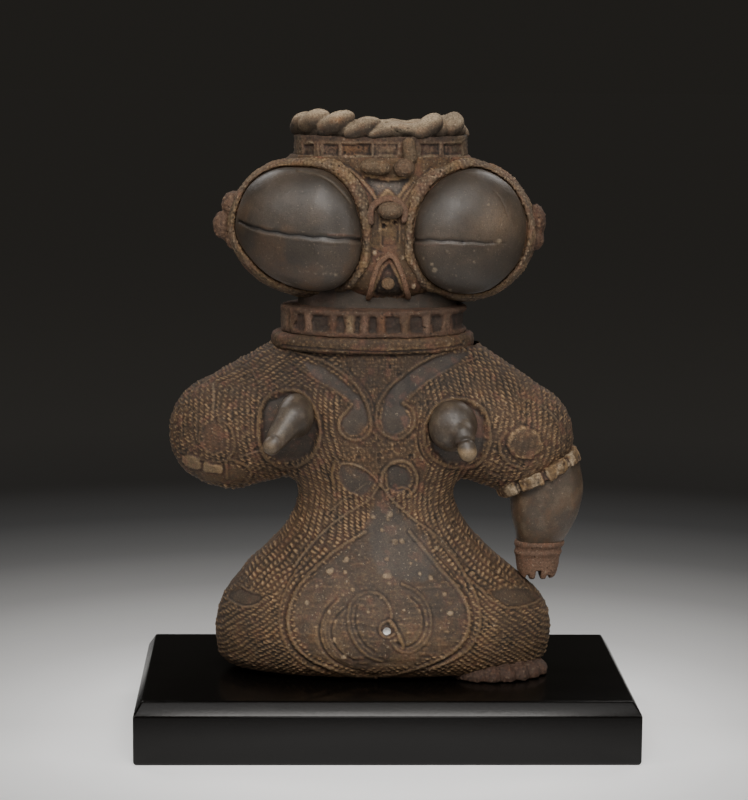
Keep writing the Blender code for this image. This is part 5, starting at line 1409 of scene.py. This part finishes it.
def dress_horn(side):
    def f(R, P, N):
        R.h += 0.25 * (fbm(P, 6, 3, 131) - 0.5)
        R.m["slate"][:] = 0.35
        R.m["gloss"][:] = 0.5
        R.tone += 0.25 * (fbm(P, 6, 3, 132) - 0.5)
        gritty(R, P, 0.10, 1.3, 133)
        R.m["pale"] = np.maximum(R.m["pale"], 0.14 * step(fbm(P, 3, 3, 134), 0.45, 0.7))
        tip = np.array(BREASTS[side][1])
        d = np.linalg.norm(P - tip, axis=1)
        if side == "left":
            w = step(-d, -5.6, -4.2) * step(-(P[:, 2] - tip[2]), -2.5, 0.0)
            R.h -= 0.8 * np.exp(-((d - 5.6) / 0.7) ** 2)
            R.m["pale"] = np.maximum(R.m["pale"], 0.35 * w)
            R.m["ochre"] = np.maximum(R.m["ochre"], 0.9 * w)
            R.m["gloss"] *= 1 - w
            R.m["slate"] *= 1 - w
            R.tone += 0.12 * w
        else:
            w = step(-np.hypot(R.U - 269, (R.V - 449) * 0.9), -9, -5)
            R.m["pale"] = np.maximum(R.m["pale"], 0.16 * w)
            R.m["ochre"] = np.maximum(R.m["ochre"], 0.3 * w)
            R.h -= 0.35 * np.exp(-((np.hypot(R.U - 271, R.V - 447) - 11) / 1.6) ** 2)
            R.m["gloss"] *= 1 - w
    return f


for side, (a, b, r0, r1) in BREASTS.items():
    cx, cz = a[0], (a[2] + b[2]) / 2
    lump(side + "_breast_clay", lambda P, side=side: horn(P, side),
         (cx - 16, -46, cz - 20), (cx + 18, -12, cz + 20), 0.5, DARK, (side + "_breast",), "clay_burnished", dress_horn(side), wear_scale=0.5)


# ------------------------------------------------------------------ plinth and mount
def lacquer():
    m = bpy.data.materials.new("lacquered_wood")
    m.use_nodes = True
    nt = m.node_tree
    b = nt.nodes["Principled BSDF"]
    co = nt.nodes.new("ShaderNodeTexCoord").outputs["Object"]
    mp = nt.nodes.new("ShaderNodeMapping")
    mp.inputs["Scale"].default_value = (2.0, 40.0, 40.0)
    nt.links.new(co, mp.inputs["Vector"])
    grain = noise_node(nt, mp.outputs[0], 9.0, 5, 0.6, 0.3)
    fine = noise_node(nt, co, 700, 3, 0.6)
    smear = noise_node(nt, co, 30, 3, 0.55, 0.6)
    col = mixer(nt, (0.0014, 0.0012, 0.0010), (0.0032, 0.0028, 0.0024), grain)
    dust = ramp(nt, fine, [(0.70, g3(0)), (0.80, g3(0.5))])
    col = mixer(nt, col, (0.06, 0.055, 0.05), mathn(nt, "MULTIPLY", dust, 0.25))
    nt.links.new(col, b.inputs["Base Color"])
    nt.links.new(mathn(nt, "MULTIPLY_ADD", smear, 0.12, 0.14), b.inputs["Roughness"])
    b.inputs["Specular IOR Level"].default_value = 0.26
    bump = nt.nodes.new("ShaderNodeBump")
    bump.inputs["Strength"].default_value = 0.12
    bump.inputs["Distance"].default_value = 0.0002
    nt.links.new(mathn(nt, "MULTIPLY_ADD", grain, 0.8, fine), bump.inputs["Height"])
    nt.links.new(bump.outputs[0], b.inputs["Normal"])
    return m


def plinth():
    lo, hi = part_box("plinth_block")
    x0, y0, z0 = lo
    x1, y1, z1 = hi
    cx, cy = (x0 + x1) / 2, (y0 + y1) / 2
    w, d = (x1 - x0) / 2, (y1 - y0) / 2
    bm = bmesh.new()
    rows = []
    for ins, z in ((0.0008, z0), (0.0, z0 + 0.0008), (0.0, z1 - 0.0058), (0.0037, z1)):
        rows.append([bm.verts.new((cx + sx * (w - ins), cy + sy * (d - ins), z)) for sx, sy in ((-1, -1), (1, -1), (1, 1), (-1, 1))])
    for a, b in zip(rows[:-1], rows[1:]):
        for k in range(4):
            bm.faces.new((a[k], a[(k + 1) % 4], b[(k + 1) % 4], b[k]))
    bm.faces.new(rows[-1])
    # underside with the counterbore for the nut
    n = 48
    ring = lambda r, z: [bm.verts.new((0.0 + r * math.cos(2 * math.pi * k / n), 0.002 + r * math.sin(2 * math.pi * k / n), z)) for k in range(n)]
    ra, rb, rc, rd = ring(0.012, z0), ring(0.012, z0 + 0.010), ring(0.0033, z0 + 0.010), ring(0.0033, z1 - 0.0006)
    for a, b in ((ra, rb), (rb, rc), (rc, rd)):
        for k in range(n):
            bm.faces.new((a[k], b[k], b[(k + 1) % n], a[(k + 1) % n]))
    bm.faces.new(rd[::-1])
    outer = rows[0]
    per = n // 4
    # join the square edge to the round hole
    idx = [int(round((math.atan2(v.co.y - 0.002, v.co.x) % (2 * math.pi)) / (2 * math.pi) * n)) % n for v in outer]
    for k in range(4):
        j = (k + 1) % 4
        a, b = idx[k], idx[j]
        arc = []
        q = a
        while True:
            arc.append(ra[q])
            if q == b:
                break
            q = (q + 1) % n
        bm.faces.new([outer[j], outer[k]] + arc)
    bmesh.ops.recalc_face_normals(bm, faces=bm.faces[:])
    edges = [e for e in bm.edges if len(e.link_faces) == 2 and e.calc_face_angle() > 0.5 and max(v.co.z for v in e.verts) > z0 + 0.0005
             and max(math.hypot(v.co.x, v.co.y - 0.002) for v in e.verts) > 0.03]
    bmesh.ops.bevel(bm, geom=edges, offset=0.0007, offset_type="OFFSET", segments=3, profile=0.5, affect="EDGES", clamp_overlap=True)
    me = bpy.data.meshes.new("plinth_lacquered")
    bm.to_mesh(me)
    bm.free()
    me.polygons.foreach_set("use_smooth", [True] * len(me.polygons))
    me.set_sharp_from_angle(angle=math.radians(38))
    me.materials.append(lacquer())
    ob = bpy.data.objects.new("plinth_lacquered", me)
    bpy.context.scene.collection.objects.link(ob)
    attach(ob, "plinth")
    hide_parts("plinth_block")


plinth()


def metal():
    m = bpy.data.materials.new("turned_steel")
    m.use_nodes = True
    nt = m.node_tree
    b = nt.nodes["Principled BSDF"]
    co = nt.nodes.new("ShaderNodeTexCoord").outputs["Object"]
    mp = nt.nodes.new("ShaderNodeMapping")
    mp.inputs["Scale"].default_value = (30.0, 30.0, 2500.0)
    nt.links.new(co, mp.inputs["Vector"])
    tool = noise_node(nt, mp.outputs[0], 1.0, 4, 0.6)
    stain = noise_node(nt, co, 120, 4, 0.6)
    nt.links.new(mixer(nt, (0.32, 0.32, 0.33), (0.52, 0.51, 0.50), stain), b.inputs["Base Color"])
    b.inputs["Metallic"].default_value = 1.0
    nt.links.new(mathn(nt, "MULTIPLY_ADD", tool, 0.22, 0.24), b.inputs["Roughness"])
    bump = nt.nodes.new("ShaderNodeBump")
    bump.inputs["Strength"].default_value = 0.25
    bump.inputs["Distance"].default_value = 0.0001
    nt.links.new(tool, bump.inputs["Height"])
    nt.links.new(bump.outputs[0], b.inputs["Normal"])
    return m


def foam():
    m = bpy.data.materials.new("padding_foam")
    m.use_nodes = True
    nt = m.node_tree
    b = nt.nodes["Principled BSDF"]
    co = nt.nodes.new("ShaderNodeTexCoord").outputs["Object"]
    v = nt.nodes.new("ShaderNodeTexVoronoi")
    v.inputs["Scale"].default_value = 1800
    nt.links.new(co, v.inputs["Vector"])
    n = noise_node(nt, co, 90, 4, 0.6)
    col = mixer(nt, (0.62, 0.60, 0.56), (0.80, 0.78, 0.74), n)
    col = mixer(nt, col, (0.42, 0.40, 0.37), ramp(nt, v.outputs["Distance"], [(0.0, g3(0.6)), (0.25, g3(0))]))
    nt.links.new(col, b.inputs["Base Color"])
    b.inputs["Roughness"].default_value = 0.92
    bump = nt.nodes.new("ShaderNodeBump")
    bump.inputs["Strength"].default_value = 0.5
    bump.inputs["Distance"].default_value = 0.0003
    nt.links.new(v.outputs["Distance"], bump.inputs["Height"])
    nt.links.new(bump.outputs[0], b.inputs["Normal"])
    return m


STEEL, FOAM = metal(), foam()
for node, mat in (("mount_rod", STEEL), ("mount_washer", STEEL), ("mount_nut", STEEL), ("mount_sleeve", FOAM)):
    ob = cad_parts[node]
    ob = ob if hasattr(ob, "data") else bpy.data.objects[ob]
    ob.data.materials.clear()
    ob.data.materials.append(mat)

# ------------------------------------------------------------------ stage
def floor():
    bm = bmesh.new()
    s = 9.0
    vs = [bm.verts.new((x, y, 0)) for x, y in ((-s, -s), (s, -s), (s, s), (-s, s))]
    bm.faces.new(vs)
    me = bpy.data.meshes.new("floor")
    bm.to_mesh(me)
    bm.free()
    ob = bpy.data.objects.new("floor", me)
    bpy.context.scene.collection.objects.link(ob)
    m = bpy.data.materials.new("floor")
    m.use_nodes = True
    nt = m.node_tree
    b = nt.nodes["Principled BSDF"]
    co = nt.nodes.new("ShaderNodeTexCoord").outputs["Object"]
    ln = nt.nodes.new("ShaderNodeVectorMath")
    ln.operation = "LENGTH"
    nt.links.new(co, ln.inputs[0])
    # painted light: the floor's colour falls from pale near the figure to near-black far out, a pool of light
    col = ramp(nt, ln.outputs["Value"], [(0.0, g3(0.84)), (0.11, g3(0.80)), (0.16, g3(0.54)), (0.235, g3(0.34)), (0.31, g3(0.175)), (0.40, g3(0.072)), (0.51, g3(0.022)), (0.64, g3(0.004)), (0.85, g3(0.0015))])
    # painted light: emission makes the floor glow most near the figure; far out it sets the dark backdrop
    painted_floor_light = ramp(nt, ln.outputs["Value"], [(0.0, g3(0.34)), (0.08, g3(0.36)), (0.15, g3(0.26)), (0.20, g3(0.13)), (0.30, g3(0.062)), (0.42, g3(0.030)), (0.50, g3(0.020)), (0.62, (0.0110, 0.0102, 0.0092)), (0.85, (0.0178, 0.0164, 0.0143))])
    sp = nt.nodes.new("ShaderNodeSeparateXYZ")
    nt.links.new(co, sp.inputs[0])
    # painted light: more emission on a strip in front of the figure
    near = ramp(nt, mathn(nt, "MULTIPLY_ADD", sp.outputs["Y"], -2.0, 0.2), [(0.2, g3(0)), (0.3, g3(0.15)), (0.4, g3(0.19)), (1.0, g3(0.12))])
    painted_floor_light = mixer(nt, painted_floor_light, near, 1.0, "ADD")
    nt.links.new(painted_floor_light, b.inputs["Emission Color"])
    b.inputs["Emission Strength"].default_value = 1.0
    soft = noise_node(nt, co, 3.0, 2, 0.5)
    col = mixer(nt, col, g3(0.02), mathn(nt, "MULTIPLY", soft, 0.04))
    nt.links.new(col, b.inputs["Base Color"])
    b.inputs["Roughness"].default_value = 0.9
    b.inputs["Specular IOR Level"].default_value = 0.08
    me.materials.append(m)


floor()


def area(name, loc, target, size, power, color=(1, 1, 1), size_y=None):
    L = bpy.data.lights.new(name, "AREA")
    L.energy = power
    L.color = color
    L.shape = "RECTANGLE"
    L.size = size
    L.size_y = size_y or size
    ob = bpy.data.objects.new(name, L)
    bpy.context.scene.collection.objects.link(ob)
    d = Vector(target) - Vector(loc)
    ob.location = loc
    ob.rotation_euler = d.to_track_quat("-Z", "Y").to_euler()
    return ob


area("key", (0.0, -1.15, 1.02), (0, 0, 0.14), 1.0, 17.8, (1.0, 0.97, 0.93), 0.46)
area("upper", (0.0, -0.75, 1.15), (0, 0, 0.05), 1.2, 2.4, (1.0, 0.98, 0.96), 0.34)
area("left", (-0.95, -0.70, 0.66), (0, 0, 0.13), 0.6, 4.4, (1.0, 0.96, 0.91))
area("right", (0.95, -0.70, 0.66), (0, 0, 0.13), 0.6, 4.4, (1.0, 0.96, 0.91))
area("front", (0.05, -1.70, 0.55), (0, 0, 0.10), 0.7, 3.2, (1.0, 0.97, 0.94))
area("back_left", (-0.75, 0.95, 1.20), (0, 0, 0.13), 0.7, 7.5, (1.0, 0.97, 0.94))
area("back_right", (0.75, 0.95, 1.20), (0, 0, 0.13), 0.7, 7.5, (1.0, 0.97, 0.94))

w = bpy.data.worlds.new("studio") if not bpy.data.worlds else bpy.data.worlds[0]
bpy.context.scene.world = w
w.use_nodes = True
w.node_tree.nodes["Background"].inputs[0].default_value = (0.0182, 0.0168, 0.0146, 1)
w.node_tree.nodes["Background"].inputs[1].default_value = 1.0

cam = bpy.data.cameras.new("camera")
cam.sensor_width = 36.0
cam.sensor_fit = "AUTO"
cam.lens = FOCAL / 800 * 36.0
cam.clip_end = 50
co = bpy.data.objects.new("camera", cam)
bpy.context.scene.collection.objects.link(co)
M = Matrix(((RIGHT[0], UP[0], -FWD[0], CAM[0] * MM), (RIGHT[1], UP[1], -FWD[1], CAM[1] * MM), (RIGHT[2], UP[2], -FWD[2], CAM[2] * MM), (0, 0, 0, 1)))
co.matrix_world = M
bpy.context.scene.camera = co
